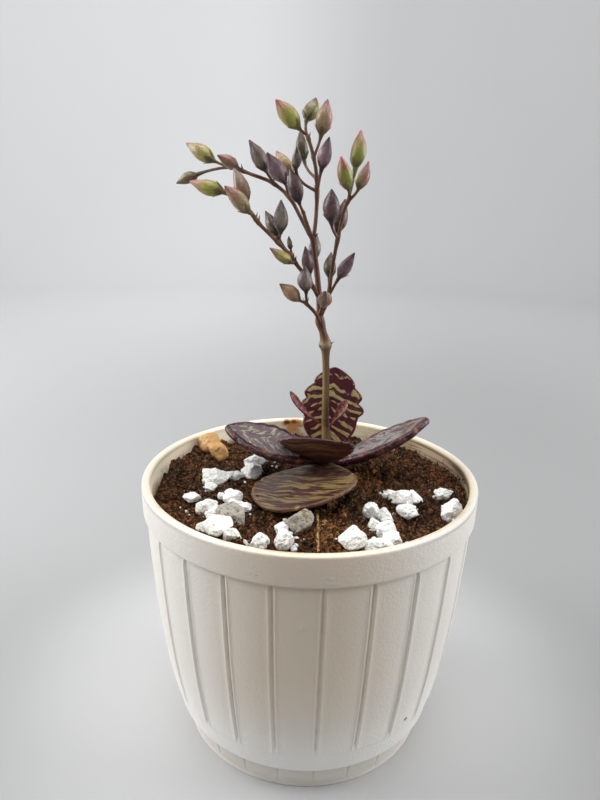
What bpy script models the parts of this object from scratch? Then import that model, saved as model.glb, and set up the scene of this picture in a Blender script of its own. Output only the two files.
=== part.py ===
"""A young kalanchoe in bud, potted: a ribbed plastic pot filled with coir soil and topped with
white grit, a rosette of thick scalloped leaves, and one branched flower stalk full of buds.

Sizes below are in millimetres; the scene is in metres, +Z up, +X to the right and -Y towards
the viewer. The origin is the centre of the pot's underside. Each piece is one closed body.
"""

import math
import random
from dataclasses import dataclass

import bmesh
import bpy
import numpy as np
from mathutils import Vector
from mathutils.bvhtree import BVHTree

MM = 0.001
GAP = 0.3  # clear space between pieces that touch in life

# Pot: a barrel of 24 staves under a plain rim band, on a recessed foot
POT_HEIGHT = 86.5
RIM_RADIUS = 52.5
FLANGE_RADIUS = 39.5
FLANGE_HEIGHT = 0.9
FOOT_INSET = 0.8
FOOT_FILLET = 0.5
FOOT_NOTCH = 0.7  # depth of the notches below the grooves, as a share of the grooves' depth
FOOT_TOP = 5.6
BAND_BOTTOM = 77.0
WALL_TOP_RADIUS = 51.2
WALL_TAPER = 4.5
WALL_BELLY = 5.1
WALL_THICKNESS = 2.0
FLOOR_THICKNESS = 2.4
FLOOR_FILLET = 1.5
LIP_WIDTH = 2.3
LIP_ROUND = 1.3
STAVES = 24
STAVE_PHASE = 5.0  # degrees from the front to the first groove on the right
GROOVE_WIDTH = 1.5
GROOVE_DEPTH = 0.6
GROOVE_BOTTOM = 18.0
GROOVE_RUNOUT = 0.8
GROOVE_ROWS = (29.0, 44.0, 60.0)
DRAIN_HOLES = 6
DRAIN_RADIUS = 3.0
DRAIN_CIRCLE = 24.0
DRAIN_SIDES = 12
INNER_ROWS = (74.0, 48.0, 25.0, 8.0)

# Soil: a level with mounds (x, y, rise, spread) and a shallow ripple
SOIL_LEVEL = 79.5
SOIL_MOUNDS = (
    (6, 10, 2.6, 15),
    (-42, 24, 2.2, 10),
    (30, 24, 1.6, 11),
    (44, 0, 1.4, 10),
    (8, -30, 2.2, 8),
    (-48, -2, -1.2, 9),
)
SOIL_RIPPLE = 0.35
SOIL_RIPPLE_LENGTH = 15.0
SOIL_COLUMNS = 40
SOIL_RINGS = 9

# Stem: centre line and radius of the leafy stem and the flower stalk up to its last fork
STEM_PATH = (
    (6.2, 9.5, 69.0, 2.0),
    (6.2, 9.5, 82.0, 2.2),
    (6.0, 9.5, 89.0, 2.1),
    (5.2, 10.0, 94.5, 1.5),
    (4.6, 10.0, 101.0, 1.35),
    (4.5, 10.0, 112.0, 1.25),
    (4.1, 10.0, 123.0, 1.3),
    (3.9, 10.0, 125.5, 2.1),
    (3.6, 10.0, 127.5, 1.5),
    (2.9, 10.0, 130.0, 1.15),
    (2.0, 10.0, 133.0, 1.5),
    (1.7, 10.0, 136.0, 1.0),
    (1.5, 10.0, 140.0, 0.95),
    (0.5, 10.0, 148.5, 0.85),
    (-0.5, 10.0, 155.0, 0.8),
    (-1.0, 10.0, 159.0, 1.05),
)
STEM_HOLE_RADIUS = 2.8
STEM_HOLE_BOTTOM = 68.5
STEM_SIDES = 10
BRANCH_RADIUS = 0.65
BRANCH_SIDES = 6
BRANCH_TAPER = 0.85
PEDICEL_RADIUS = 0.48
PEDICEL_SIDES = 5
PEDICEL_SINK = 0.6  # how far a pedicel runs on into its bud
PEDICEL_STRAIGHT = 0.45  # share of a pedicel's length that is in line with its bud

BUD_SIDES = 8
# share of the bud's length, share of its half girth, and how far its four lobes stand out
BUD_PROFILE = (
    (0.00, 0.30, 0.00),
    (0.13, 0.98, 0.12),
    (0.21, 0.90, 0.02),
    (0.45, 1.00, 0.05),
    (0.72, 0.66, 0.08),
    (0.92, 0.27, 0.05),
)
BUD_TWIST = 35.0  # degrees that the furled petals turn from base to tip

# Blade section: how square its edge and its faces are, and how much thinner it is at the tip
BLADE_EDGE_POWER = 0.75
BLADE_FACE_POWER = 0.7
BLADE_TIP_THINNING = 0.35
BLADE_NECK_SHARE = 0.2  # length before the first scallop, as a share of the blade
MIDRIB_STEPS = 100

STONE_SEED = 11
STONE_POINTS = 16
STONE_SKEW = 0.35  # radians that a stone's points stray round it
STONE_ROUGHNESS = (0.82, 1.12)
STONE_SUNK = 0.42  # height of a stone's middle above the soil, as a share of its size
STONE_CLEARANCE = 0.42
GOLDEN_ANGLE = math.pi * (3 - math.sqrt(5))
SHARP_ANGLE = 35.0

IVORY = ("pot_ivory_plastic", (0.80, 0.78, 0.72), 0.38)
COIR = ("coir_soil", (0.090, 0.045, 0.020), 0.95)
GRIT = ("white_grit", (0.83, 0.82, 0.79), 0.85)
OCHRE = ("ochre_stone", (0.60, 0.40, 0.17), 0.70)
MAROON = ("maroon_leaf", (0.115, 0.035, 0.045), 0.45)
OLIVE_BROWN = ("olive_brown_stem", (0.19, 0.115, 0.06), 0.55)
RUSSET = ("russet_bud", (0.26, 0.17, 0.13), 0.50)


@dataclass(frozen=True)
class Leaf:
    """A blade that grows from its base along an azimuth, its rise changing evenly to the tip."""

    name: str
    base: tuple
    azimuth: float
    rise: tuple
    roll: float
    length: float
    width: float
    cup: float
    thickness: float = 1.9
    lobes: int = 6
    scallop: float = 0.09
    widest: float = 0.50
    bluntness: float = 0.60
    fullness: float = 1.10
    neck: float = 0.14
    section_points: int = 8


@dataclass(frozen=True)
class Bud:
    """A flower bud: where its pedicel leaves its branch, its two ends, and its girth across."""

    branch: int
    share: float
    base: tuple
    tip: tuple
    girth: float


@dataclass(frozen=True)
class Stone:
    """A grain of grit: its centre on the soil, its three sizes and its turn in degrees."""

    x: float
    y: float
    long: float
    deep: float
    high: float
    turn: float = 0.0


LEAVES = (
    Leaf("leaf_left", (3.45, 9.4, 87.0), 186, (14, 25), -6, 34, 20, 0.08, widest=0.52),
    Leaf("leaf_right", (8.8, 9.4, 87.0), -3, (24, 33), -8, 33, 20, 0.12),
    Leaf("leaf_back", (6.3, 12.8, 89.5), 88, (72, 80), 0, 28, 22, 0.12, widest=0.48, fullness=0.8),
    Leaf("leaf_front_inner", (5.2, 6.7, 89.0), -93, (42, 60), 3, 15, 24, 0.13, lobes=5,
         widest=0.60),
    Leaf("leaf_front_lower", (5.2, 7.1, 85.0), -112, (-4, 5), 8, 30, 35, 0.05, bluntness=0.55,
         lobes=7),
    Leaf("bract_left", (2.9, 9.0, 100.0), 192, (56, 28), 0, 13.0, 3.6, 0.30, thickness=1.0,
         lobes=0, scallop=0, widest=0.55, neck=0.35, section_points=6),
    Leaf("bract_right", (6.5, 9.0, 100.0), -12, (60, 62), 0, 10.0, 3.8, 0.30, thickness=1.0,
         lobes=0, scallop=0, widest=0.60, neck=0.35, section_points=6),
)

STEM_SIDE_BRANCHES = (((-1.1, 9.7, 158.2), (-2.6, 8.6, 162.0), (-4.0, 8.0, 166.0)),)
STEM_BUDS = (
    Bud(0, 1.00, (-5.5, 7.0, 169.5), (-8.0, 6.0, 178.0), 4.4),
)

SPRAY_LOW_LEFT = (
    (((1.6, 7.9, 133.5), (0.6, 6.8, 136.0), (-2.5, 5.0, 139.5)),),
    (
        Bud(0, 1.00, (-5.0, 4.0, 141.0), (-10.5, 3.0, 145.5), 4.2),
        Bud(0, 0.97, (-2.6, 3.2, 144.0), (-3.0, 2.2, 151.0), 4.4),
    ),
)
SPRAY_LOWER_LEFT = (
    (
        (
            (0.4, 8.4, 142.2),
            (-1.0, 7.6, 145.0),
            (-5.0, 7.0, 150.0),
            (-8.0, 6.0, 154.0),
            (-12.5, 5.0, 158.5),
            (-16.5, 3.5, 162.5),
            (-18.5, 2.5, 165.0),
        ),
    ),
    (
        Bud(0, 0.12, (-1.8, 5.8, 148.8), (-3.2, 5.2, 156.5), 3.5),
        Bud(0, 0.40, (-7.5, 3.8, 152.0), (-13.5, 2.0, 156.0), 3.2),
        Bud(0, 0.42, (-7.6, 8.0, 155.5), (-8.2, 9.0, 159.0), 1.6),
        Bud(0, 0.62, (-10.5, 5.5, 161.0), (-10.5, 5.5, 169.5), 4.3),
        Bud(0, 0.50, (-12.0, 10.0, 159.5), (-15.5, 12.0, 166.0), 3.8),
        Bud(0, 1.00, (-20.0, 1.0, 166.5), (-26.0, -1.5, 173.0), 4.6),
        Bud(0, 0.92, (-21.0, 6.5, 169.0), (-24.5, 8.0, 178.0), 4.6),
        Bud(0, 0.86, (-29.0, 12.0, 171.5), (-38.5, 13.5, 174.0), 4.7),
    ),
)
SPRAY_UPPER_LEFT = (
    (
        (
            (-2.1, 11.6, 158.6),
            (-5.0, 13.0, 164.5),
            (-8.0, 14.0, 169.5),
            (-11.0, 15.0, 172.3),
            (-14.5, 15.5, 174.5),
            (-19.5, 16.0, 176.2),
            (-23.5, 17.0, 177.5),
            (-27.5, 17.5, 178.6),
        ),
    ),
    (
        Bud(0, 0.33, (-10.2, 12.0, 175.0), (-15.0, 9.5, 182.5), 4.9),
        Bud(0, 0.30, (-8.5, 20.0, 177.0), (-13.0, 22.5, 183.5), 4.7),
        Bud(0, 0.52, (-16.0, 14.2, 178.2), (-20.5, 13.0, 186.0), 4.4),
        Bud(0, 0.83, (-24.6, 14.6, 178.6), (-29.8, 11.5, 181.5), 3.6),
        Bud(0, 1.00, (-32.5, 18.5, 180.5), (-40.5, 20.5, 185.0), 4.7),
        Bud(0, 0.97, (-38.0, 21.5, 175.8), (-44.5, 23.5, 173.2), 3.5),
    ),
)
SPRAY_TOP = (
    (
        (
            (-0.4, 10.5, 159.5),
            (-0.2, 10.6, 165.0),
            (-0.1, 11.0, 172.0),
            (-0.6, 11.5, 178.0),
            (-2.0, 12.0, 183.5),
            (-3.4, 12.5, 187.5),
        ),
    ),
    (
        Bud(0, 1.00, (-6.5, 11.0, 190.0), (-12.5, 8.0, 196.5), 5.3),
        Bud(0, 0.95, (-3.6, 15.0, 192.3), (-1.2, 18.0, 198.3), 4.5),
        Bud(0, 0.72, (0.8, 11.5, 188.5), (2.2, 11.0, 197.2), 4.8),
        Bud(0, 0.52, (-4.4, 17.0, 181.5), (-5.6, 19.0, 189.5), 3.6),
        Bud(0, 0.40, (-6.4, 6.5, 178.5), (-6.2, 4.0, 184.0), 2.9),
        Bud(0, 0.36, (1.2, 9.6, 179.0), (3.0, 8.0, 187.0), 4.0),
    ),
)
SPRAY_RIGHT = (
    (
        (
            (3.4, 9.1, 135.8),
            (4.2, 8.0, 141.5),
            (5.0, 7.5, 149.0),
            (6.0, 7.0, 156.0),
            (7.0, 6.0, 162.0),
            (8.0, 5.0, 167.0),
            (9.4, 4.5, 170.5),
        ),
    ),
    (
        Bud(0, 0.14, (7.6, 6.0, 148.0), (11.5, 4.0, 155.0), 3.8),
        Bud(0, 0.10, (4.6, 12.6, 147.0), (4.8, 14.5, 154.0), 3.9),
        Bud(0, 0.55, (6.6, 11.0, 161.0), (8.4, 12.5, 170.0), 4.1),
        Bud(0, 0.58, (4.2, 2.6, 164.5), (4.0, 1.0, 172.8), 5.0),
        Bud(0, 1.00, (8.6, 2.0, 173.5), (6.2, -1.0, 181.5), 4.3),
        Bud(0, 0.96, (11.9, 3.4, 173.5), (14.2, 3.2, 180.5), 3.4),
        Bud(0, 0.94, (10.9, 8.0, 179.5), (12.0, 8.6, 189.0), 4.5),
    ),
)
SPRAY_FRONT = (
    (((1.9, 8.05, 136.4), (2.4, 7.0, 138.0)),),
    (Bud(0, 1.00, (2.9, 5.6, 139.3), (3.2, 0.4, 144.0), 4.3),),
)
SPRAY_REAR = (
    (((0.4, 11.7, 146.0), (0.2, 12.6, 148.5)),),
    (Bud(0, 1.00, (-0.4, 14.0, 152.5), (0.0, 16.0, 159.5), 3.8),),
)
SPRAYS = {
    "spray_low_left": SPRAY_LOW_LEFT,
    "spray_lower_left": SPRAY_LOWER_LEFT,
    "spray_upper_left": SPRAY_UPPER_LEFT,
    "spray_top": SPRAY_TOP,
    "spray_right": SPRAY_RIGHT,
    "bud_front": SPRAY_FRONT,
    "bud_rear": SPRAY_REAR,
}

HEAPS = {
    "grit_back_left": (
        Stone(-18.6, 18.0, 9.5, 7.0, 5.0, 20),
        Stone(-19.3, 6.5, 7.0, 6.0, 5.0),
        Stone(-30.2, 4.0, 10.2, 7.5, 5.2, 8),
        Stone(-24.6, 5.8, 7.4, 4.2, 3.2),
        Stone(-19.2, 11.6, 6.5, 8.0, 3.6),
        Stone(-31.4, -1.2, 4.2, 6.4, 3.0),
    ),
    "grit_left": (
        Stone(-30.4, -17.2, 6.6, 6.0, 5.0),
        Stone(-23.4, -11.2, 6.4, 5.6, 5.0, 10),
        Stone(-19.8, -15.6, 5.6, 4.6, 3.0, -20),
        Stone(-22.6, -22.4, 8.8, 8.8, 6.2),
        Stone(-29.0, -28.0, 5.4, 5.0, 3.2),
        Stone(-25.4, -30.0, 8.8, 10.2, 5.2),
        Stone(-21.0, -32.8, 5.6, 5.0, 4.2),
        Stone(-27.4, -19.6, 6.2, 5.4, 4.0),
        Stone(-22.4, -16.0, 5.8, 7.6, 3.6),
    ),
    "grit_front": (
        Stone(-7.6, -28.8, 4.6, 4.4, 4.0),
        Stone(-2.6, -27.4, 8.4, 6.6, 6.0, 25),
        Stone(-6.4, -36.6, 5.8, 6.4, 4.8),
        Stone(-6.2, -32.2, 4.2, 4.6, 3.0),
    ),
    "grit_right_rim": (
        Stone(12.4, -37.4, 8.4, 6.6, 5.2),
        Stone(21.8, -28.8, 5.8, 6.0, 5.0),
        Stone(18.8, -25.6, 3.6, 4.4, 3.4),
        Stone(19.0, -36.6, 8.4, 5.2, 3.6),
        Stone(23.2, -33.0, 5.8, 6.4, 3.4),
    ),
    "grit_splinters": (
        Stone(18.2, -18.2, 5.0, 5.0, 5.4),
        Stone(22.4, -20.6, 3.4, 8.2, 4.2, 25),
        Stone(20.4, -18.8, 3.4, 3.4, 2.6),
    ),
    "grit_right": (
        Stone(25.4, -6.0, 5.6, 5.4, 2.8),
        Stone(28.2, -10.4, 8.4, 8.4, 5.6),
        Stone(29.2, -16.6, 6.6, 7.2, 3.8),
        Stone(32.2, -7.6, 6.0, 5.8, 4.2),
    ),
    "grit_lone_left": (Stone(-36.4, -9.6, 6.2, 4.2, 3.2, -30),),
    "grit_lone_front": (Stone(-13.0, -36.8, 6.0, 5.4, 4.8),),
    "grit_lone_right": (Stone(42.2, -4.6, 6.2, 4.4, 3.2),),
    "grit_lone_rim": (Stone(42.8, -16.0, 8.0, 6.6, 5.8, 30),),
}
OCHRE_STONE = Stone(-34.4, 24.6, 10.4, 7.0, 5.6, -15)


def finish(look):
    """The material of a look (its name, colour and roughness), made once."""
    label, colour, roughness = look
    material = bpy.data.materials.get(label)
    if material is None:
        material = bpy.data.materials.new(label)
        material.use_nodes = True
        shader = material.node_tree.nodes["Principled BSDF"]
        shader.inputs["Base Color"].default_value = (*colour, 1.0)
        shader.inputs["Roughness"].default_value = roughness
        shader.inputs["Metallic"].default_value = 0.0
        material.diffuse_color = (*colour, 1.0)
    return material


def add_mesh(name, points, faces, look):
    """An object made of points in millimetres, its faces turned outwards."""
    mesh = bpy.data.meshes.new(name)
    mesh.from_pydata([Vector(p) * MM for p in points], [], faces)
    cleaned = bmesh.new()
    cleaned.from_mesh(mesh)
    bmesh.ops.recalc_face_normals(cleaned, faces=cleaned.faces)
    cleaned.to_mesh(mesh)
    cleaned.free()
    mesh.shade_smooth()
    mesh.set_sharp_from_angle(angle=math.radians(SHARP_ANGLE))
    mesh.materials.append(finish(look))
    item = bpy.data.objects.new(name, mesh)
    bpy.context.scene.collection.objects.link(item)
    return item


def loft(name, rings, start, end, look):
    """A closed body through rings of points, each end closed by a fan to a pole. The first half
    of every ring is split along one diagonal and the second half along the other, so that the
    two faces of a thin blade are split alike."""
    rings = np.asarray(rings, float)
    count, around = rings.shape[:2]
    points = [*rings.reshape(-1, 3).tolist(), list(start), list(end)]
    faces = []
    for i in range(count - 1):
        for j in range(around):
            a, b = i * around + j, i * around + (j + 1) % around
            c, d = a + around, b + around
            faces += [(a, b, d), (a, d, c)] if j < around / 2 else [(a, b, c), (b, d, c)]
    first, last = count * around, count * around + 1
    top = (count - 1) * around
    for j in range(around):
        k = (j + 1) % around
        faces += [(first, k, j), (top + j, top + k, last)]
    return add_mesh(name, points, faces, look)


def fuse(name, parts):
    """One body from overlapping parts, by one union on the collection of all but the first."""
    body, *others = parts
    group = bpy.data.collections.new(name + "_parts")
    bpy.context.scene.collection.children.link(group)
    for other in others:
        group.objects.link(other)
    union = body.modifiers.new("union", "BOOLEAN")
    union.operation = "UNION"
    union.solver = "EXACT"
    union.operand_type = "COLLECTION"
    union.collection = group
    bpy.context.view_layer.update()
    graph = bpy.context.evaluated_depsgraph_get()
    joined = bpy.data.meshes.new_from_object(body.evaluated_get(graph))
    body.modifiers.clear()
    body.data = joined
    body.name = name
    joined.name = name
    for other in others:
        bpy.data.objects.remove(other, do_unlink=True)
    bpy.data.collections.remove(group)
    return body


def smooth_path(points, steps):
    """A Catmull-Rom curve through rows of numbers, with a few steps from each row to the next."""
    rows = np.asarray(points, float)
    padded = np.vstack([2 * rows[0] - rows[1], rows, 2 * rows[-1] - rows[-2]])
    share = np.linspace(0, 1, steps, endpoint=False)[:, None]
    spans = []
    for a, b, c, d in zip(padded, padded[1:], padded[2:], padded[3:]):
        spans.append(
            b
            + 0.5 * share * (c - a)
            + share**2 * (a - 2.5 * b + 2 * c - 0.5 * d)
            + share**3 * (1.5 * (b - c) + 0.5 * (d - a))
        )
    return np.vstack([*spans, rows[-1:]])


def tube(name, path, radii, sides, look):
    """A round bar along a path, its ends flat. The rings turn as little as the path allows."""
    path = np.asarray(path, float)
    along = np.gradient(path, axis=0)
    along /= np.linalg.norm(along, axis=1)[:, None]
    across = np.cross(along[0], (0.3, 0.9, 0.1))
    angles = np.arange(sides)[:, None] * 2 * math.pi / sides
    rings = []
    for centre, heading, radius in zip(path, along, radii):
        across = across - heading * across.dot(heading)
        across /= np.linalg.norm(across)
        other = np.cross(heading, across)
        rings.append(centre + radius * (np.cos(angles) * across + np.sin(angles) * other))
    return loft(name, rings, path[0], path[-1], look)


def wall_radius(z):
    """The pot's outer wall: a straight taper plus a cubic belly that draws in at the foot."""
    drop = np.clip((BAND_BOTTOM - z) / (BAND_BOTTOM - FOOT_TOP), 0, 1)
    return WALL_TOP_RADIUS - WALL_TAPER * drop - WALL_BELLY * drop**3


def inner_radius(z):
    return wall_radius(z) - WALL_THICKNESS


def pot_profile():
    """Rows of radius, height and share of the groove's depth, up the outside and down the inside."""
    foot = FLANGE_RADIUS - FOOT_INSET
    above_flange = FLANGE_HEIGHT + FOOT_FILLET
    below_wall = FOOT_TOP - FOOT_FILLET
    rows = [
        (FLANGE_RADIUS, 0, 0),
        (FLANGE_RADIUS, FLANGE_HEIGHT, 0),
        (foot, above_flange, 0),
        (foot, above_flange + FOOT_FILLET, FOOT_NOTCH),
        (foot + FOOT_FILLET, below_wall, FOOT_NOTCH),
        (foot + FOOT_FILLET, FOOT_TOP, 0),
    ]
    wall_rows = (FOOT_TOP + FOOT_FILLET, (FOOT_TOP + GROOVE_BOTTOM) / 2, GROOVE_BOTTOM)
    rows += [(wall_radius(z), z, 0) for z in wall_rows]
    groove_rows = (GROOVE_BOTTOM + GROOVE_RUNOUT, *GROOVE_ROWS, BAND_BOTTOM - GROOVE_RUNOUT)
    rows += [(wall_radius(z), z, 1) for z in groove_rows]
    lip = RIM_RADIUS - LIP_WIDTH
    shoulder = LIP_ROUND / 4
    rows += [
        (wall_radius(BAND_BOTTOM), BAND_BOTTOM - shoulder, 0),
        (RIM_RADIUS - 2 * shoulder, BAND_BOTTOM + shoulder, 0),
        (RIM_RADIUS, BAND_BOTTOM + 2 * LIP_ROUND, 0),
        (RIM_RADIUS, POT_HEIGHT - LIP_ROUND, 0),
        (RIM_RADIUS - shoulder, POT_HEIGHT - shoulder, 0),
        (RIM_RADIUS - LIP_WIDTH / 2, POT_HEIGHT, 0),
        (lip + shoulder, POT_HEIGHT - shoulder, 0),
        (lip, POT_HEIGHT - LIP_ROUND, 0),
    ]
    rows += [(inner_radius(z), z, 0) for z in INNER_ROWS]
    rows.append((inner_radius(FOOT_TOP) - FLOOR_FILLET, FLOOR_THICKNESS, 0))
    return rows


def stave_columns():
    """Angles round the pot, four to a stave, and how deep in the groove each one lies."""
    pitch = 360 / STAVES
    half = math.degrees(GROOVE_WIDTH / 2 / WALL_TOP_RADIUS)
    angles, depths = [], []
    for i in range(STAVES):
        centre = STAVE_PHASE + i * pitch
        angles += [centre - half, centre, centre + half, centre + pitch / 2]
        depths += [0, 1, 0, 0]
    return np.radians(angles) - math.pi / 2, np.array(depths)


def make_pot():
    angles, depths = stave_columns()
    rings = []
    for radius, z, share in pot_profile():
        r = radius - GROOVE_DEPTH * share * depths
        rings.append(np.stack([r * np.cos(angles), r * np.sin(angles), np.full_like(r, z)], -1))
    pot = loft("pot", rings, (0, 0, 0), (0, 0, FLOOR_THICKNESS), IVORY)
    drill_drains(pot)
    return pot


def drill_drains(pot):
    """Round drain holes through the floor, cut by one hidden cutter."""
    bits = bmesh.new()
    for i in range(DRAIN_HOLES):
        turn = 2 * math.pi * (i + 0.5) / DRAIN_HOLES
        made = bmesh.ops.create_cone(
            bits,
            cap_ends=True,
            segments=DRAIN_SIDES,
            radius1=DRAIN_RADIUS * MM,
            radius2=DRAIN_RADIUS * MM,
            depth=3 * FLOOR_THICKNESS * MM,
        )
        centre = Vector((math.cos(turn), math.sin(turn), 0)) * DRAIN_CIRCLE * MM
        bmesh.ops.translate(bits, verts=made["verts"], vec=centre)
    mesh = bpy.data.meshes.new("drain_cutter")
    bits.to_mesh(mesh)
    bits.free()
    cutter = bpy.data.objects.new("drain_cutter", mesh)
    cutter.display_type = "WIRE"
    cutter.hide_render = True
    bpy.context.scene.collection.objects.link(cutter)
    cut = pot.modifiers.new("drains", "BOOLEAN")
    cut.operation = "DIFFERENCE"
    cut.solver = "EXACT"
    cut.object = cutter


def soil_height(x, y):
    """The soil's top: its level, plus a bell-shaped rise for each mound, plus the ripple."""
    wave = 2 * math.pi / SOIL_RIPPLE_LENGTH
    height = SOIL_LEVEL + SOIL_RIPPLE * np.sin(wave * x + 0.6) * np.cos(wave * y - 0.3)
    for mound_x, mound_y, rise, spread in SOIL_MOUNDS:
        distance = (x - mound_x) ** 2 + (y - mound_y) ** 2
        height = height + rise * np.exp(-distance / (2 * spread**2))
    return height


def make_soil():
    """The root ball: rings over the top from the stem's hole outwards, down the wall, to the
    floor. The hole is a plain round well on the stem's axis."""
    angles = np.arange(SOIL_COLUMNS) * 2 * math.pi / SOIL_COLUMNS
    around = np.stack([np.cos(angles), np.sin(angles)], -1)
    foot_x, foot_y = STEM_PATH[0][:2]
    stem_axis = np.array([foot_x, foot_y])
    edge_z = soil_height(*(around * inner_radius(SOIL_LEVEL)).T)
    edge = around * (inner_radius(edge_z) - GAP)[:, None]
    hole = stem_axis + around * STEM_HOLE_RADIUS
    rings = [np.column_stack([hole, np.full(SOIL_COLUMNS, STEM_HOLE_BOTTOM)])]
    for share in np.linspace(0, 1, SOIL_RINGS):
        ring = hole + (edge - hole) * share
        rings.append(np.column_stack([ring, soil_height(*ring.T)]))
    for z in INNER_ROWS:
        ring = around * (inner_radius(z) - GAP)
        rings.append(np.column_stack([ring, np.full(SOIL_COLUMNS, z)]))
    floor_z = FLOOR_THICKNESS + GAP
    ring = around * (inner_radius(FOOT_TOP) - FLOOR_FILLET - 2 * GAP)
    rings.append(np.column_stack([ring, np.full(SOIL_COLUMNS, floor_z)]))
    well = (*stem_axis, STEM_HOLE_BOTTOM)
    return loft("soil", rings, well, (0, 0, floor_z), COIR)


def leaf_stations(leaf):
    """Shares of the blade's length: three to a scallop, closer at the neck and the tip."""
    if not leaf.lobes:
        return np.array([0, 0.2, 0.4, 0.6, 0.8, 0.94])
    margin = np.arange(3 * leaf.lobes) / (3 * leaf.lobes)
    scalloped = BLADE_NECK_SHARE + (1 - BLADE_NECK_SHARE) * margin
    return np.concatenate([[0, BLADE_NECK_SHARE / 2], scalloped, [0.985]])


def half_width(leaf, share):
    """Half the blade's width: it fills out from the neck to the widest place, rounds off to the
    tip, and is notched between the rounded scallops of its margin."""
    quarter = math.pi / 2
    inner = leaf.neck + (1 - leaf.neck) * np.sin(
        quarter * np.clip(share / leaf.widest, 0, 1)
    ) ** leaf.fullness
    beyond = np.clip((share - leaf.widest) / (1 - leaf.widest), 0, 1)
    outer = np.cos(quarter * beyond) ** leaf.bluntness
    margin = np.clip((share - BLADE_NECK_SHARE) / (1 - BLADE_NECK_SHARE), 0, 1)
    scallop = np.abs(np.sin(math.pi * leaf.lobes * margin))
    notched = 1 - leaf.scallop + leaf.scallop * scallop
    return leaf.width / 2 * np.where(share > leaf.widest, outer, inner) * notched


def make_leaf(leaf):
    """A thick blade: a flattened round section, cupped across, carried along the midrib."""
    share = leaf_stations(leaf)
    fine = np.linspace(0, 1, MIDRIB_STEPS + 1)
    rise = np.radians(leaf.rise[0] + (leaf.rise[1] - leaf.rise[0]) * fine)
    azimuth = math.radians(leaf.azimuth)
    flat = np.array([math.cos(azimuth), math.sin(azimuth), 0])
    heading = np.cos(rise)[:, None] * flat + np.sin(rise)[:, None] * np.array([0, 0, 1.0])
    steps = (heading[1:] + heading[:-1]) / 2 * leaf.length / MIDRIB_STEPS
    midrib = np.array(leaf.base) + np.vstack([np.zeros(3), np.cumsum(steps, axis=0)])
    at = np.stack([np.interp(share, fine, midrib[:, k]) for k in range(3)], -1)
    ahead = np.stack([np.interp(share, fine, heading[:, k]) for k in range(3)], -1)
    level = np.array([-math.sin(azimuth), math.cos(azimuth), 0])
    upright = np.cross(ahead, level)
    roll = math.radians(leaf.roll)
    side = level * math.cos(roll) + upright * math.sin(roll)
    face = upright * math.cos(roll) - level * math.sin(roll)
    turn = np.arange(leaf.section_points) * 2 * math.pi / leaf.section_points
    across = np.sign(np.cos(turn)) * np.abs(np.cos(turn)) ** BLADE_EDGE_POWER
    through = np.sign(np.sin(turn)) * np.abs(np.sin(turn)) ** BLADE_FACE_POWER
    width = half_width(leaf, share)
    reach = width[:, None] * across
    lift = leaf.cup * reach**2 / (leaf.width / 2)
    thinning = 1 - BLADE_TIP_THINNING * share[:, None] ** 2
    lift = lift + through * leaf.thickness / 2 * thinning
    rings = at[:, None] + reach[..., None] * side[:, None] + lift[..., None] * face[:, None]
    return loft(leaf.name, rings, at[0], midrib[-1], MAROON)


def make_bud(name, bud):
    """A pointed bud in its calyx: rings with four lobes, turned a little along the way."""
    base, tip = np.array(bud.base), np.array(bud.tip)
    axis = tip - base
    length = np.linalg.norm(axis)
    axis = axis / length
    across = np.cross(axis, (0.2, 1.0, 0.1))
    across /= np.linalg.norm(across)
    other = np.cross(axis, across)
    angles = np.arange(BUD_SIDES) * 2 * math.pi / BUD_SIDES
    rings = []
    for share, girth, lobe in BUD_PROFILE:
        radius = bud.girth / 2 * girth * (1 + lobe * np.cos(4 * angles))
        turned = angles + math.radians(BUD_TWIST) * share
        ring = np.cos(turned)[:, None] * across + np.sin(turned)[:, None] * other
        rings.append(base + axis * length * share + radius[:, None] * ring)
    return loft(name, rings, base, tip, RUSSET)


def make_pedicel(name, branch, bud):
    """A thin stalk from the branch into the bud, straight on its last stretch."""
    place = bud.share * (len(branch) - 1)
    index = min(int(place), len(branch) - 2)
    root = branch[index] + (branch[index + 1] - branch[index]) * (place - index)
    base, tip = np.array(bud.base), np.array(bud.tip)
    axis = (tip - base) / np.linalg.norm(tip - base)
    middle = base - axis * PEDICEL_STRAIGHT * np.linalg.norm(base - root)
    share = np.linspace(0, 1, 4)[:, None]
    path = (1 - share) ** 2 * root + 2 * share * (1 - share) * middle + share**2 * base
    path = np.vstack([path, base + axis * PEDICEL_SINK])
    return tube(name, path, np.full(len(path), PEDICEL_RADIUS), PEDICEL_SIDES, OLIVE_BROWN)


def flowering(name, branches, buds):
    """The loose parts of a spray: its branches, its pedicels and its buds."""
    routes = [smooth_path(points, 2) for points in branches]
    parts = []
    for i, route in enumerate(routes):
        radii = np.linspace(1.0, BRANCH_TAPER, len(route)) * BRANCH_RADIUS
        parts.append(tube(f"{name}_branch{i}", route, radii, BRANCH_SIDES, OLIVE_BROWN))
    for i, bud in enumerate(buds):
        parts.append(make_pedicel(f"{name}_pedicel{i}", routes[bud.branch], bud))
        parts.append(make_bud(f"{name}_bud{i}", bud))
    return parts


def make_stem():
    path = smooth_path(STEM_PATH, 2)
    stem = tube("stem_axis", path[:, :3], path[:, 3], STEM_SIDES, OLIVE_BROWN)
    return fuse("stem", [stem, *flowering("stem", STEM_SIDE_BRANCHES, STEM_BUDS)])


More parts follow.
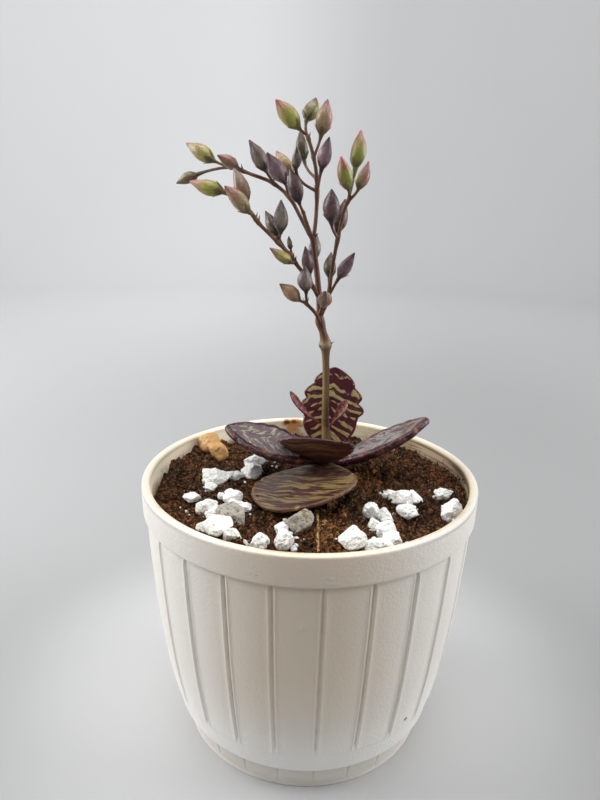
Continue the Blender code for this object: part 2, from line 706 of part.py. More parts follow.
def make_stone(name, stone, ground, chance, look):
    """A crushed grain: the hull of points spread over a blob, each moved in or out by chance and
    none lower than the soil allows."""
    turn = math.radians(stone.turn)
    grain = bmesh.new()
    start = chance.uniform(0, 2 * math.pi)
    for i in range(STONE_POINTS):
        z = 1 - (2 * i + 1) / STONE_POINTS
        angle = start + GOLDEN_ANGLE * i + chance.uniform(-STONE_SKEW, STONE_SKEW)
        ring = math.sqrt(1 - z * z) * chance.uniform(*STONE_ROUGHNESS)
        u, v = ring * math.cos(angle) * stone.long / 2, ring * math.sin(angle) * stone.deep / 2
        x = stone.x + u * math.cos(turn) - v * math.sin(turn)
        y = stone.y + u * math.sin(turn) + v * math.cos(turn)
        reach = math.hypot(x, y)
        keep = min(1.0, (inner_radius(BAND_BOTTOM) - 2 * GAP) / reach)
        x, y = x * keep, y * keep
        ray = Vector((x, y, POT_HEIGHT * 2)) * MM
        soil_z = ground.ray_cast(ray, Vector((0, 0, -1)))[0].z / MM
        height = max(STONE_CLEARANCE, stone.high * (STONE_SUNK + (1 - STONE_SUNK) * z))
        grain.verts.new(Vector((x, y, soil_z + height)) * MM)
    hull = bmesh.ops.convex_hull(grain, input=grain.verts)
    loose = {v for v in hull["geom_interior"] if isinstance(v, bmesh.types.BMVert)}
    bmesh.ops.delete(grain, geom=list(loose), context="VERTS")
    points = [v.co / MM for v in grain.verts]
    grain.verts.index_update()
    faces = [[v.index for v in face.verts] for face in grain.faces]
    grain.free()
    return add_mesh(name, points, faces, look)


def make_grit(soil):
    ground = BVHTree.FromObject(soil, bpy.context.evaluated_depsgraph_get())
    chance = random.Random(STONE_SEED)
    for name, stones in HEAPS.items():
        grains = [
            make_stone(f"{name}_{i}", stone, ground, chance, GRIT)
            for i, stone in enumerate(stones)
        ]
        if len(grains) > 1:
            fuse(name, grains)
        else:
            grains[0].name = name
    make_stone("ochre_stone", OCHRE_STONE, ground, chance, OCHRE)


def main():
    for item in list(bpy.data.objects):
        bpy.data.objects.remove(item, do_unlink=True)
    make_pot()
    soil = make_soil()
    make_stem()
    for leaf in LEAVES:
        make_leaf(leaf)
    for name, (branches, buds) in SPRAYS.items():
        fuse(name, flowering(name, branches, buds))
    bpy.context.view_layer.update()
    make_grit(soil)


main()
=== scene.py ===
"""Looks of a young potted kalanchoe in bud: ribbed pot, coir soil, white grit, leaves and buds.

Lengths in the classes' fields are in millimetres, and MM turns them into the scene's metres.
+Z is up, +X is to the right and -Y faces the viewer. Each new piece is a surface worked out
with numpy in the place of the solids that it replaces, and each finish is a node material.
"""

import functools
import itertools
import logging
import math
from collections.abc import Sequence
from dataclasses import dataclass, field
from enum import Enum
from typing import ClassVar

import bpy
import numpy as np
from mathutils import Matrix, Vector


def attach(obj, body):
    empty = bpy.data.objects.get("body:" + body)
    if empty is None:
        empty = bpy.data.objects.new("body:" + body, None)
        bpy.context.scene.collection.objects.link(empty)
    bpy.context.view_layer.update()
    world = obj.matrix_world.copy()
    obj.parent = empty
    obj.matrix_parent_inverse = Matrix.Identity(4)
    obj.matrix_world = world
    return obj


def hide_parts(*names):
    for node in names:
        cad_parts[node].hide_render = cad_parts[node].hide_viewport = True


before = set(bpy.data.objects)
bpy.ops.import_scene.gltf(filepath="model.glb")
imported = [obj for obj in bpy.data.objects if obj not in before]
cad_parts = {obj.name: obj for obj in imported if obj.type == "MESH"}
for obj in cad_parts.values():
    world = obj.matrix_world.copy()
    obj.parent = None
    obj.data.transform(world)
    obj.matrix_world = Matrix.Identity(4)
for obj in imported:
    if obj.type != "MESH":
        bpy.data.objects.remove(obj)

Array = np.ndarray
Socket = bpy.types.NodeSocket
Node = bpy.types.Node
Item = bpy.types.Object
Colour = tuple[float, float, float]
Point = tuple[float, float, float]
Span = tuple[float, float]
Row = tuple[float, ...]

MM = 0.001
BODY = "root"
GOLDEN_ANGLE = math.pi * (3 - math.sqrt(5))

logging.basicConfig(level=logging.INFO, format="%(message)s")
log = logging.getLogger("kalanchoe")


# Numbers and surfaces


def smooth(value: Array | float, low: float, high: float) -> Array:
    """Rises smoothly from 0 at low to 1 at high, or falls if high is less: 3t squared less 2t
    cubed, where t is the value's share of the way from low to high."""
    share = np.clip((value - low) / (high - low), 0, 1)
    return share * share * (3 - 2 * share)


def unit(vectors: Array) -> Array:
    """Vectors along the last axis, each scaled to length 1."""
    return vectors / np.linalg.norm(vectors, axis=-1, keepdims=True)


def blend(first: Array | Point, second: Array | Point, share: Array) -> Array:
    """Numbers part of the way from the first to the second."""
    return np.asarray(first) * (1 - share) + np.asarray(second) * share


def full_turn(count: int) -> Array:
    """Even angles once round a circle, from 0."""
    return np.arange(count) * 2 * math.pi / count


def circle(angles: Array) -> Array:
    """The unit circle's x and y at those angles, along a new last axis."""
    return np.stack([np.cos(angles), np.sin(angles)], -1)


def turned(radius: Array, angles: Array, height: Array) -> Array:
    """Points from cylinder coordinates, whose shapes are broadcast together."""
    radius, height = np.broadcast_arrays(radius, height)
    return np.concatenate([radius[..., None] * circle(angles), height[..., None]], -1)


def curve(points: Array | list[Row], steps: int) -> Array:
    """A Catmull-Rom curve: each span is the cubic whose end slopes are half the neighbours' step.

    Args:
        points: two or more rows of numbers that the curve passes through.
        steps: how many stations each span gets.
    """
    rows = np.asarray(points, float)
    padded = np.vstack([2 * rows[0] - rows[1], rows, 2 * rows[-1] - rows[-2]])
    a, b, c, d = (padded[i : len(rows) - 1 + i, None] for i in range(4))
    t = np.linspace(0, 1, steps, endpoint=False)[None, :, None]
    spans = b + 0.5 * t * (c - a) + t**2 * (a - 2.5 * b + 2 * c - 0.5 * d)
    spans = spans + t**3 * (1.5 * (b - c) + 0.5 * (d - a))
    return np.vstack([spans.reshape(-1, rows.shape[1]), rows[-1:]])


class Noise:
    """Smooth value noise on a cubic lattice, the same on every run for one seed."""

    TABLE = 4096
    PRIMES = (73856093, 19349663, 83492791)

    def __init__(self, seed: int) -> None:
        """Draws the lattice's random heights."""
        self.heights = np.random.default_rng(seed).uniform(-1, 1, self.TABLE)

    def at(self, points: Array, size: float) -> Array:
        """Blends the heights at a cell's eight corners by the smooth share of the way to each.

        Args:
            points: places, with x, y and z along the last axis.
            size: a cell's edge, in the unit of the points.

        Returns:
            Heights from -1 to 1.
        """
        place = points / size
        cell = np.floor(place).astype(np.int64)
        share = smooth(place - cell, 0, 1)
        total = np.zeros(points.shape[:-1])
        for corner in itertools.product((0, 1), repeat=3):
            keys = (cell + corner) * self.PRIMES
            key = keys[..., 0] ^ keys[..., 1] ^ keys[..., 2]
            weight = np.prod(np.where(corner, share, 1 - share), axis=-1)
            total += weight * self.heights[key % self.TABLE]
        return total

    def layered(self, points: Array, size: float, octaves: int = 3) -> Array:
        """Sums octaves of the noise, each half as large and half as strong as the last."""
        layers = [self.at(points + 17.3 * i, size / 2**i) / 2**i for i in range(octaves)]
        return sum(layers) / (2 - 0.5 ** (octaves - 1))


@dataclass
class Surface:
    """A mesh in the making: points in millimetres, faces, and values carried by the points."""

    points: Array
    quads: Array
    fans: Array
    layers: dict[str, Array] = field(default_factory=dict)
    skin: int = 0

    @staticmethod
    def lofted(rings: Array, layers: dict[str, Array] | None = None, skin: int = 0) -> "Surface":
        """Closed bodies from rings of points: quads between rings, and a fan to each end's middle.

        Args:
            rings: bodies, rings, points round a ring and x, y, z. One body needs no first axis.
            layers: values for each point of the rings, by name.
            skin: the material's place on the piece.
        """
        rings = rings[None] if rings.ndim == 3 else rings
        bodies, count, around = rings.shape[:3]
        size = count * around

        def with_poles(values: Array) -> Array:
            values = values.reshape(bodies, count, around, -1)
            poles = values[:, [0, -1]].mean(axis=2)
            flat = np.concatenate([values.reshape(bodies, size, -1), poles], axis=1)
            return flat.reshape(bodies * (size + 2), -1)

        ring, place = np.meshgrid(np.arange(count - 1), np.arange(around), indexing="ij")
        a, b = ring * around + place, ring * around + (place + 1) % around
        quads = np.stack([a, b, b + around, a + around], -1).reshape(-1, 4)
        here, after = np.arange(around), (np.arange(around) + 1) % around
        last = size - around
        first_fan = np.stack([after, here, np.full(around, size)], -1)
        last_fan = np.stack([last + here, last + after, np.full(around, size + 1)], -1)
        fans = np.concatenate([first_fan, last_fan])
        shift = np.arange(bodies)[:, None, None] * (size + 2)
        made = Surface(
            with_poles(rings),
            (quads + shift).reshape(-1, 4),
            (fans + shift).reshape(-1, 3),
            {name: with_poles(np.asarray(v, float)) for name, v in (layers or {}).items()},
            skin,
        )
        return made.outward()

    @staticmethod
    def tinted(rings: Array, tint: Array, skin: int = 0, **shares: Array | float) -> "Surface":
        """Lofted bodies whose points carry their tint, and shares such as how freckled they are."""
        layers = {name: np.broadcast_to(share, rings.shape[:-1]) for name, share in shares.items()}
        return Surface.lofted(rings, {"tint": np.broadcast_to(tint, rings.shape), **layers}, skin)

    def outward(self) -> "Surface":
        """Turns all faces round if the volume that they enclose is negative."""
        q, f = self.points[self.quads], self.points[self.fans]
        volume = np.sum(np.cross(q[:, 0], q[:, 1]) * q[:, 2])
        volume += np.sum(np.cross(q[:, 0], q[:, 2]) * q[:, 3])
        volume += np.sum(np.cross(f[:, 0], f[:, 1]) * f[:, 2])
        if volume < 0:
            self.quads, self.fans = self.quads[:, ::-1], self.fans[:, ::-1]
        return self


def mesh_from(name: str, parts: list[Surface]) -> bpy.types.Mesh:
    """Joins surfaces into one smooth mesh in metres, with their values as attributes.

    Args:
        name: the mesh's name.
        parts: surfaces that carry the same layers. A layer named uv becomes the UV map.
    """
    starts = np.cumsum([0] + [len(part.points) for part in parts[:-1]])
    points = np.concatenate([part.points for part in parts]) * MM
    quads = np.concatenate([part.quads + start for part, start in zip(parts, starts)])
    fans = np.concatenate([part.fans + start for part, start in zip(parts, starts)])
    skins = [np.full(len(part.quads), part.skin) for part in parts]
    skins += [np.full(len(part.fans), part.skin) for part in parts]
    mesh = bpy.data.meshes.new(name)
    mesh.from_pydata(points, [], quads.tolist() + fans.tolist())
    mesh.polygons.foreach_set("material_index", np.concatenate(skins).astype(np.int32))
    for layer in parts[0].layers:
        values = np.concatenate([part.layers[layer] for part in parts]).astype(np.float32)
        if layer == "uv":
            corners = np.empty(len(mesh.loops), np.int32)
            mesh.loops.foreach_get("vertex_index", corners)
            mesh.uv_layers.new(name="UVMap").uv.foreach_set("vector", values[corners].ravel())
        elif values.shape[1] == 1:
            mesh.attributes.new(layer, "FLOAT", "POINT").data.foreach_set("value", values.ravel())
        else:
            tints = np.column_stack([values, np.ones(len(values), np.float32)]).ravel()
            mesh.attributes.new(layer, "FLOAT_COLOR", "POINT").data.foreach_set("color", tints)
    mesh.shade_smooth()
    mesh.validate()
    return mesh


def placed(name: str, data: bpy.types.ID) -> Item:
    """A new object that holds the data, in the scene."""
    item = bpy.data.objects.new(name, data)
    bpy.context.scene.collection.objects.link(item)
    return item


def show(
    name: str, parts: list[Surface], finishes: Sequence["Finish"], slot: str, *nodes: str
) -> Item:
    """Puts a piece in the scene, at the origin and on the body.

    Args:
        name: the piece's name.
        parts: the surfaces that it is made of.
        finishes: its materials, in the order of the surfaces' skins.
        slot: a material slot name; not used.
        nodes: the solids that the piece stands for.
    """
    piece = placed(name, mesh_from(name, parts))
    for finish in finishes:
        piece.data.materials.append(finish.material())
    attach(piece, BODY)
    if nodes:
        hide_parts(*nodes)
    log.info("%s: %d faces", name, len(piece.data.polygons))
    return piece


def tube_rings(paths: Array, radii: Array, sides: int, reference: Point) -> Array:
    """Circles across a path: centre + radius x (cos of the turn x across + sin x other).

    Args:
        paths: centre lines, with stations and x, y, z as the last two axes.
        radii: a radius for each station.
        sides: points round each circle.
        reference: a direction that no path runs along; it sets where the circles start.
    """
    along = unit(np.gradient(paths, axis=-2))
    across = unit(np.cross(along, reference))
    other = np.cross(along, across)
    turn = full_turn(sides)[:, None]
    ring = np.cos(turn) * across[..., None, :] + np.sin(turn) * other[..., None, :]
    return paths[..., None, :] + radii[..., None, None] * ring


def pointed_scale(spine: Array, side: Array, through: Array, width: float) -> Array:
    """A small scale leaf: a flattened cone that narrows along its spine.

    Args:
        spine: stations along its middle, each with an axis of length 1 for its ring.
        side: the direction of its width.
        through: the direction of its thickness.
        width: half its width at the base.
    """
    turn = full_turn(8)[:, None]
    taper = (1 - np.linspace(0, 1, len(spine))) ** 0.8
    size = width * taper[:, None, None] + 0.02
    return spine + size * (np.cos(turn) * side + 0.4 * np.sin(turn) * through)


# Shader building


class Graph:
    """Adds nodes to one node tree and links them."""

    def __init__(self, tree: bpy.types.NodeTree) -> None:
        """Works on a material's node tree or a node group."""
        self.tree = tree

    def node(self, kind: str, inputs: dict | None = None, **settings: object) -> Node:
        """A new shader node, its settings made and its inputs fed.

        Args:
            kind: the node's type without its ShaderNode prefix.
            inputs: numbers, colours or sockets, by the input's name or place.
            settings: the node's own properties.
        """
        made = self.tree.nodes.new("ShaderNode" + kind)
        for key, value in settings.items():
            setattr(made, key, value)
        for key, value in (inputs or {}).items():
            self.feed(made.inputs[key], value)
        return made

    def feed(self, socket: Socket, value: object) -> None:
        """Links a socket to an input, or sets a plain value on it."""
        if isinstance(value, bpy.types.NodeSocket):
            self.tree.links.new(value, socket)
        elif isinstance(value, tuple) and len(socket.default_value) == len(value) + 1:
            socket.default_value = (*value, 1.0)
        else:
            socket.default_value = value

    def math(self, operation: str, a: object, b: object = 0.0) -> Socket:
        """One arithmetic step on numbers."""
        return self.node("Math", {0: a, 1: b}, operation=operation).outputs[0]

    def times(self, *factors: object) -> Socket:
        """The product of the factors."""
        return functools.reduce(lambda a, b: self.math("MULTIPLY", a, b), factors)

    def plus(self, *terms: object) -> Socket:
        """The sum of the terms."""
        return functools.reduce(lambda a, b: self.math("ADD", a, b), terms)

    def minus(self, a: object, b: object) -> Socket:
        """The first less the second."""
        return self.math("SUBTRACT", a, b)

    def most(self, a: object, b: object) -> Socket:
        """The greater of the two."""
        return self.math("MAXIMUM", a, b)

    def magnitude(self, a: object) -> Socket:
        """The number without its sign."""
        return self.math("ABSOLUTE", a)

    def mix(self, share: object, a: object, b: object, blend: str = "MIX") -> Socket:
        """A blend of two colours by a share."""
        settings = {"data_type": "RGBA", "blend_type": blend}
        return self.node("Mix", {0: share, 6: a, 7: b}, **settings).outputs[2]

    def over(self, colour: object, tint: Colour, mask: object, strength: float) -> Socket:
        """A colour with a tint laid over it where the mask is 1, at a strength."""
        return self.mix(self.times(mask, strength), colour, tint)

    def shaded(self, share: object, colour: object, shade: Colour) -> Socket:
        """A colour multiplied by a shade where the share is 1."""
        return self.mix(share, colour, self.mix(1.0, colour, shade, "MULTIPLY"))

    def span(self, value: object, low: object, high: object, to: Span = (0.0, 1.0)) -> Socket:
        """A smooth step of a value from low to high, spread over the range that to gives."""
        inputs = {"Value": value, "From Min": low, "From Max": high}
        inputs.update({"To Min": to[0], "To Max": to[1]})
        return self.node("MapRange", inputs, interpolation_type="SMOOTHSTEP").outputs[0]

    def noise(self, vector: object, scale: object, detail: float, **more: float) -> Socket:
        """A noise texture's value, from 0 to 1 around a half."""
        inputs = {"Vector": vector, "Scale": scale, "Detail": detail}
        inputs.update({key.title(): value for key, value in more.items()})
        return self.node("TexNoise", inputs).outputs["Fac"]

    def place(self) -> Socket:
        """Object coordinates, in metres."""
        return self.node("TexCoord").outputs["Object"]

    def split(self, vector: object) -> list[Socket]:
        """A vector's three numbers."""
        return list(self.node("SeparateXYZ", {0: vector}).outputs)

    def stretched(self, vector: object, scale: Point) -> Socket:
        """A vector scaled along its three directions."""
        return self.node("Mapping", {0: vector, "Scale": scale}).outputs[0]

    def value(self, name: str) -> Socket:
        """A number that the piece's points carry."""
        return self.node("Attribute", attribute_name=name).outputs["Fac"]

    def colour(self, name: str) -> Socket:
        """A colour that the piece's points carry."""
        return self.node("Attribute", attribute_name=name).outputs["Color"]

    def bump(self, height: object, depth: float) -> Socket:
        """A normal from a height from 0 to 1, spread over a depth in millimetres."""
        return self.node("Bump", {"Height": height, "Distance": depth * MM}).outputs["Normal"]

    def use(self, effect: "Effect", vector: object, **inputs: object) -> Socket:
        """A shared effect's mask or height at a place, its other inputs by their names."""
        made = self.tree.nodes.new("ShaderNodeGroup")
        made.node_tree = effect.tree()
        for key, value in {"vector": vector, **inputs}.items():
            self.feed(made.inputs[key.title()], value)
        return made.outputs[0]

    def patches(self, vector: object, scale: float, softness: float, cover: float = 0.5) -> Socket:
        """The mottle effect's patches; cover is about their share of the surface."""
        return self.use(Effect.MOTTLE, vector, scale=scale, cover=cover, softness=softness)


def mottle(graph: Graph, vector: Socket, scale: Socket, cover: Socket, softness: Socket) -> Socket:
    """Soft patches: layered noise, stepped smoothly round the level that Cover sets."""
    noise = graph.noise(vector, scale, 5.0, roughness=0.6)
    low = graph.minus(0.72, graph.times(cover, 0.44))
    high = graph.plus(low, softness)
    return graph.span(noise, low, high)


def freckles(graph: Graph, vector: Socket, scale: Socket, size: Socket) -> Socket:
    """Ragged spots: the distance to scattered cell centres, bent by noise and cut at Size."""
    bend = graph.noise(vector, graph.times(scale, 1.7), 2.0)
    cells = graph.node("TexVoronoi", {"Vector": vector, "Scale": scale})
    distance = graph.plus(cells.outputs["Distance"], graph.times(bend, 0.5))
    edge = graph.plus(size, 0.25)
    return graph.span(distance, graph.plus(edge, 0.12), edge)


def cross_stripes(graph: Graph, vector: Socket, **given: Socket) -> Socket:
    """Broken bands across a blade. The place along the blade, less Lean times the distance from
    the midrib, is squeezed by Bands and bent by noise; a wave and long noise are then cut."""
    along, across, _ = graph.split(vector)
    lean = graph.times(graph.magnitude(across), given["lean"])
    bend = graph.times(graph.noise(vector, 3.2, 2.0), given["waver"])
    run = graph.times(graph.plus(along, lean, bend), given["bands"])
    wave = graph.math("SINE", graph.times(run, 2 * math.pi))
    length = graph.times(across, given["breaks"])
    spot = graph.node("CombineXYZ", {0: run, 1: length, 2: 0.3}).outputs[0]
    streak = graph.noise(spot, 1.0, 2.5, roughness=0.62)
    level = graph.plus(streak, graph.times(wave, given["order"]))
    edge = graph.minus(0.66, graph.times(given["cover"], 0.32))
    return graph.span(level, edge, graph.plus(edge, given["softness"]))


def grain(graph: Graph, vector: Socket, scale: Socket) -> Socket:
    """A fine uneven height: noise at Scale, and about a third of it at three times the scale."""
    broad = graph.noise(vector, scale, 2.0)
    fine = graph.noise(vector, graph.times(scale, 3.1), 1.0)
    return graph.plus(broad, graph.times(fine, 0.35))


def soiling(graph: Graph, vector: Socket, low: Socket, high: Socket, scale: Socket) -> Socket:
    """Dirt that fades from Low up to High, its edge broken up by noise."""
    height = graph.split(vector)[2]
    rough = graph.noise(vector, scale, 4.0, roughness=0.65)
    reach = graph.minus(high, low)
    push = graph.times(graph.minus(rough, 0.5), reach, 2.6)
    return graph.span(graph.plus(height, push), high, low)


def stain(graph: Graph, vector: Socket, centre: Socket, radius: Socket, scale: Socket) -> Socket:
    """One ragged round mark: the distance to Centre over Radius, bent by noise and cut at 1."""
    apart = graph.node("VectorMath", {0: vector, 1: centre}, operation="DISTANCE")
    reach = graph.math("DIVIDE", apart.outputs["Value"], radius)
    bend = graph.noise(vector, scale, 4.0, roughness=0.6)
    push = graph.times(graph.minus(bend, 0.5), 2.2)
    return graph.span(graph.plus(reach, push), 1.15, 0.55)


class Effect(Enum):
    """The effects that several finishes share, each a node group with one mask or height."""

    MOTTLE = (mottle, "vector scale cover softness")
    FRECKLES = (freckles, "vector scale size")
    STRIPES = (cross_stripes, "vector bands lean waver breaks order cover softness")
    GRAIN = (grain, "vector scale")
    SOILING = (soiling, "vector low high scale")
    STAIN = (stain, "vector centre radius scale")

    def tree(self) -> bpy.types.NodeTree:
        """The effect's node group, built on its first use."""
        painter, inputs = self.value
        group = bpy.data.node_groups.get(painter.__name__)
        if group is not None:
            return group
        group = bpy.data.node_groups.new(painter.__name__, "ShaderNodeTree")
        for name in inputs.split():
            kind = "NodeSocketVector" if name in ("vector", "centre") else "NodeSocketFloat"
            group.interface.new_socket(name.title(), in_out="INPUT", socket_type=kind)
        group.interface.new_socket("Mask", in_out="OUTPUT", socket_type="NodeSocketFloat")
        graph = Graph(group)
        entry = group.nodes.new("NodeGroupInput")
        result = painter(graph, **{name: entry.outputs[name.title()] for name in inputs.split()})
        graph.feed(group.nodes.new("NodeGroupOutput").inputs[0], result)
        return group


@dataclass(frozen=True)
class Finish:
    """A procedural material: plain values, and values painted at places on the surface."""

    name: str
    plain: ClassVar[dict[str, float]] = {}

    def paint(self, graph: Graph, place: Socket) -> dict[str, Socket]:
        """The values that change over the surface, by the shader's input."""
        raise NotImplementedError

    def material(self) -> bpy.types.Material:
        """The material, built on its first use."""
        made = bpy.data.materials.get(self.name)
        if made is not None:
            return made
        made = bpy.data.materials.new(self.name)
        made.use_nodes = True
        graph = Graph(made.node_tree)
        skin = made.node_tree.nodes["Principled BSDF"]
        for key, value in {**self.plain, **self.paint(graph, graph.place())}.items():
            graph.feed(skin.inputs[key], value)
        return made


# Finishes


def tone(red: int, green: int, blue: int) -> Colour:
    """A colour as the eye reads it, from 0 to 255 a channel, in the shader's linear numbers."""
    return tuple(((c / 255 + 0.055) / 1.055) ** 2.4 for c in (red, green, blue))


@dataclass(frozen=True)
class PotPlastic(Finish):
    """Cream moulded plastic: orange-peel skin, warm mottling, dirt and painted shade in grooves, soil
    stains, and painted light and shade on the front, low wall, inner wall and foot.

    Places are in metres. Each span runs from where its mask is 0 to where it is 1.
    """

    cream: Colour = tone(238, 234, 227)
    # warm: painted warm shade for the front of the pot.
    warm: Colour = tone(236, 220, 197)
    aged: Colour = tone(230, 217, 188)
    # pale: painted light for the left half of the inner wall.
    pale: Colour = tone(248, 238, 214)
    # Tide marks, and painted brown shade over the right of the inner wall.
    tide_stain_and_shade: Colour = tone(116, 90, 60)
    # Dirt and painted shade in the grooves, the painted shadow under the foot's ledge, and dirt low on the
    # underside.
    grime_and_shade: Colour = tone(128, 104, 78)
    # Painted light: the lighter low wall, a highlight along the ledge above the foot, and glints on the
    # rim's flecks and flow mark.
    painted_light_cream: Colour = tone(251, 249, 244)
    splash: Colour = tone(132, 92, 52)
    foot_shade: Colour = (0.9, 0.875, 0.84)
    lip_shade: Colour = (0.74, 0.74, 0.73)
    # Where the low wall is painted lighter.
    lit_low_wall: Span = (0.04, 0.012)
    # Where the front is painted with warm shade, across and up.
    shaded_front_width: Span = (0.037, 0.008)
    shaded_front_height: Span = (0.012, 0.05)
    front_half: Span = (0.0, -0.03)
    # Where the inner wall's left half is painted lighter.
    lit_left_half: Span = (0.0, -0.03)
    foot_edge: Span = (0.0094, 0.0087)
    # Where the painted highlight runs along the ledge's rounded edge.
    roll_bottom: Span = (0.0088, 0.0093)
    roll_top: Span = (0.0102, 0.0095)
    # Where the right of the inner wall is painted in shade.
    shaded_right_side: Span = (0.012, 0.038)
    film_top: Span = (0.0866, 0.0848)
    splash_height: Span = (0.0785, 0.0825)
    foot_dirt_height: Span = (0.0, 0.007)
    inner_edge: Span = (0.0842, 0.0862)
    lip_edge: Span = (0.0846, 0.0857)
    lip_sides: Span = (0.018, 0.044)
    fleck_bottom: Span = (0.0776, 0.0788)
    fleck_top: Span = (0.0836, 0.0824)
    fleck_width: Span = (0.02, 0.013)
    fleck_side: Span = (0.0, -0.01)
    fleck_shift: float = 0.003
    mark: Point = (-0.0007, -0.0504, 0.0649)
    mark_radius: float = 0.0011
    stains: tuple[tuple[Point, float, Colour, float], ...] = (
        ((-0.0068, 0.049, 0.0838), 0.0040, tone(196, 128, 52), 0.85),
        ((-0.0094, 0.0485, 0.0856), 0.0015, tone(92, 54, 20), 0.95),
        ((-0.0066, 0.0490, 0.0857), 0.0013, tone(110, 64, 24), 0.9),
        ((-0.006, -0.0495, 0.0858), 0.0075, tone(176, 116, 56), 0.5),
    )
    nick: tuple[Point, float, Colour, float] = (
        (0.0308, -0.0331, 0.0211), 0.0009, tone(96, 82, 66), 0.9,
    )
    plain: ClassVar[dict[str, float]] = {"IOR": 1.48, "Subsurface Weight": 0.06, "Subsurface Scale": 0.003}

    def plastic(self, graph: Graph, place: Socket, inside: Socket) -> Socket:
        """The plastic: painted warm shade on the front, painted light low on the wall, and aged inside the
        pot with painted light on its left half.
        """
        x, _, z = graph.split(place)
        # Painted warm shade across the front, fading out low down.
        front = graph.span(graph.magnitude(x), *self.shaded_front_width)
        front = graph.times(front, graph.span(z, *self.shaded_front_height), 0.85)
        # Painted light: lighter low on the wall.
        colour = graph.mix(graph.span(z, *self.lit_low_wall), self.cream, self.painted_light_cream)
        colour = graph.mix(front, colour, self.warm)
        aging = graph.patches(place, 30.0, 0.4)
        # Painted light on the inner wall's left half.
        aged = graph.mix(graph.span(x, *self.lit_left_half), self.aged, self.pale)
        return graph.mix(graph.most(graph.times(aging, 0.2), inside), colour, aged)

    def grooved(self, graph: Graph, colour: Socket, z: Socket, inside: Socket, worn: Socket) -> Socket:
        """Painted shade on the foot, a painted highlight along the ledge's rounded edge, and dirt with
        painted shade in the grooves, most at the foot.
        """
        # Painted shade on the foot ring below the ledge.
        foot = graph.times(graph.span(z, *self.foot_edge), graph.span(inside, 0.5, 0.0))
        colour = graph.shaded(foot, colour, self.foot_shade)
        # Painted highlight along the ledge's rounded edge.
        edge_highlight = graph.times(graph.span(z, *self.roll_bottom), graph.span(z, *self.roll_top), 0.7)
        colour = graph.mix(edge_highlight, colour, self.painted_light_cream)
        # Dirt and painted shade in the grooves, and the painted shadow under the ledge.
        groove = graph.math("POWER", graph.value("groove"), 2.2)
        depth = graph.span(foot, 0.0, 1.0, (0.42, 0.95))
        return graph.mix(graph.times(groove, graph.span(worn, -1.4, 1.2), depth), colour, self.grime_and_shade)

    def soiled_and_shaded(self, graph: Graph, colour: Socket, place: Socket, inside: Socket, worn: Socket) -> Socket:
        """Inside the rim: water tides, painted brown shade over the right of the wall, and soil splashed
        and rubbed on.
        """
        x, y, z = graph.split(place)
        tide = graph.noise(graph.stretched(place, (28.0, 28.0, 620.0)), 1.0, 4.0, roughness=0.65)
        tide = graph.span(tide, 0.42, 0.72)
        # Painted shade: the right of the inner wall darkened brown.
        right = graph.times(graph.span(x, *self.shaded_right_side), graph.span(tide, -0.8, 0.5))
        tide_stain_and_shade = graph.most(graph.times(tide, 0.22), right)
        tide_stain_and_shade = graph.times(tide_stain_and_shade, inside, graph.span(z, *self.film_top))
        colour = graph.mix(tide_stain_and_shade, colour, self.tide_stain_and_shade)
        low, high = self.splash_height
        splash = graph.use(Effect.SOILING, place, low=low, high=high, scale=260.0)
        colour = graph.mix(graph.times(splash, inside, 0.7), colour, self.splash)
        edge = graph.times(graph.span(z, *self.inner_edge), graph.span(y, *self.front_half))
        edge = graph.times(edge, inside, graph.span(worn, -0.5, 1.2), 0.5)
        return graph.mix(edge, colour, self.splash)

    def marked(self, graph: Graph, colour: Socket, place: Socket, inside: Socket) -> Socket:
        """Rusty stains inside, one nick outside, a dirty underside and the lip's shaded sides."""
        for mark, within in [*((stain, inside) for stain in self.stains), (self.nick, 1.0)]:
            centre, radius, tint, depth = mark
            spot = graph.use(Effect.STAIN, place, centre=centre, radius=radius, scale=1.2 / radius)
            colour = graph.mix(graph.times(spot, within, depth), colour, tint)
        low, high = self.foot_dirt_height
        dirt = graph.use(Effect.SOILING, place, low=low, high=high, scale=150.0)
        colour = graph.over(colour, self.grime_and_shade, dirt, 0.1)
        x, _, z = graph.split(place)
        sides = graph.span(graph.magnitude(x), *self.lip_sides)
        return graph.shaded(graph.times(graph.span(z, *self.lip_edge), sides), colour, self.lip_shade)

    def relief_and_glints(self, graph: Graph, place: Socket) -> Socket:
        """Faint uneven flecks along the front of the rim band, and one flow mark below it, for the relief
        and for painted highlights.
        """
        x, y, z = graph.split(place)
        band = graph.times(graph.span(z, *self.fleck_bottom), graph.span(z, *self.fleck_top))
        across = graph.magnitude(graph.plus(x, self.fleck_shift))
        band = graph.times(band, graph.span(across, *self.fleck_width), graph.span(y, *self.fleck_side))
        stretched = graph.stretched(place, (1.0, 1.0, 1.7))
        flecks = graph.patches(stretched, 360.0, 0.16, cover=0.36)
        mark = {"centre": self.mark, "radius": self.mark_radius, "scale": 420.0}
        mark = graph.times(graph.use(Effect.STAIN, place, **mark), 0.6)
        return graph.most(graph.times(band, flecks), mark)

    def paint(self, graph: Graph, place: Socket) -> dict[str, Socket]:
        inside = graph.value("inside")
        worn = graph.patches(place, 160.0, 0.3, cover=0.6)
        colour = self.plastic(graph, place, inside)
        colour = self.grooved(graph, colour, graph.split(place)[2], inside, worn)
        colour = self.soiled_and_shaded(graph, colour, place, inside, worn)
        colour = self.marked(graph, colour, place, inside)
        relief_and_glints = self.relief_and_glints(graph, place)
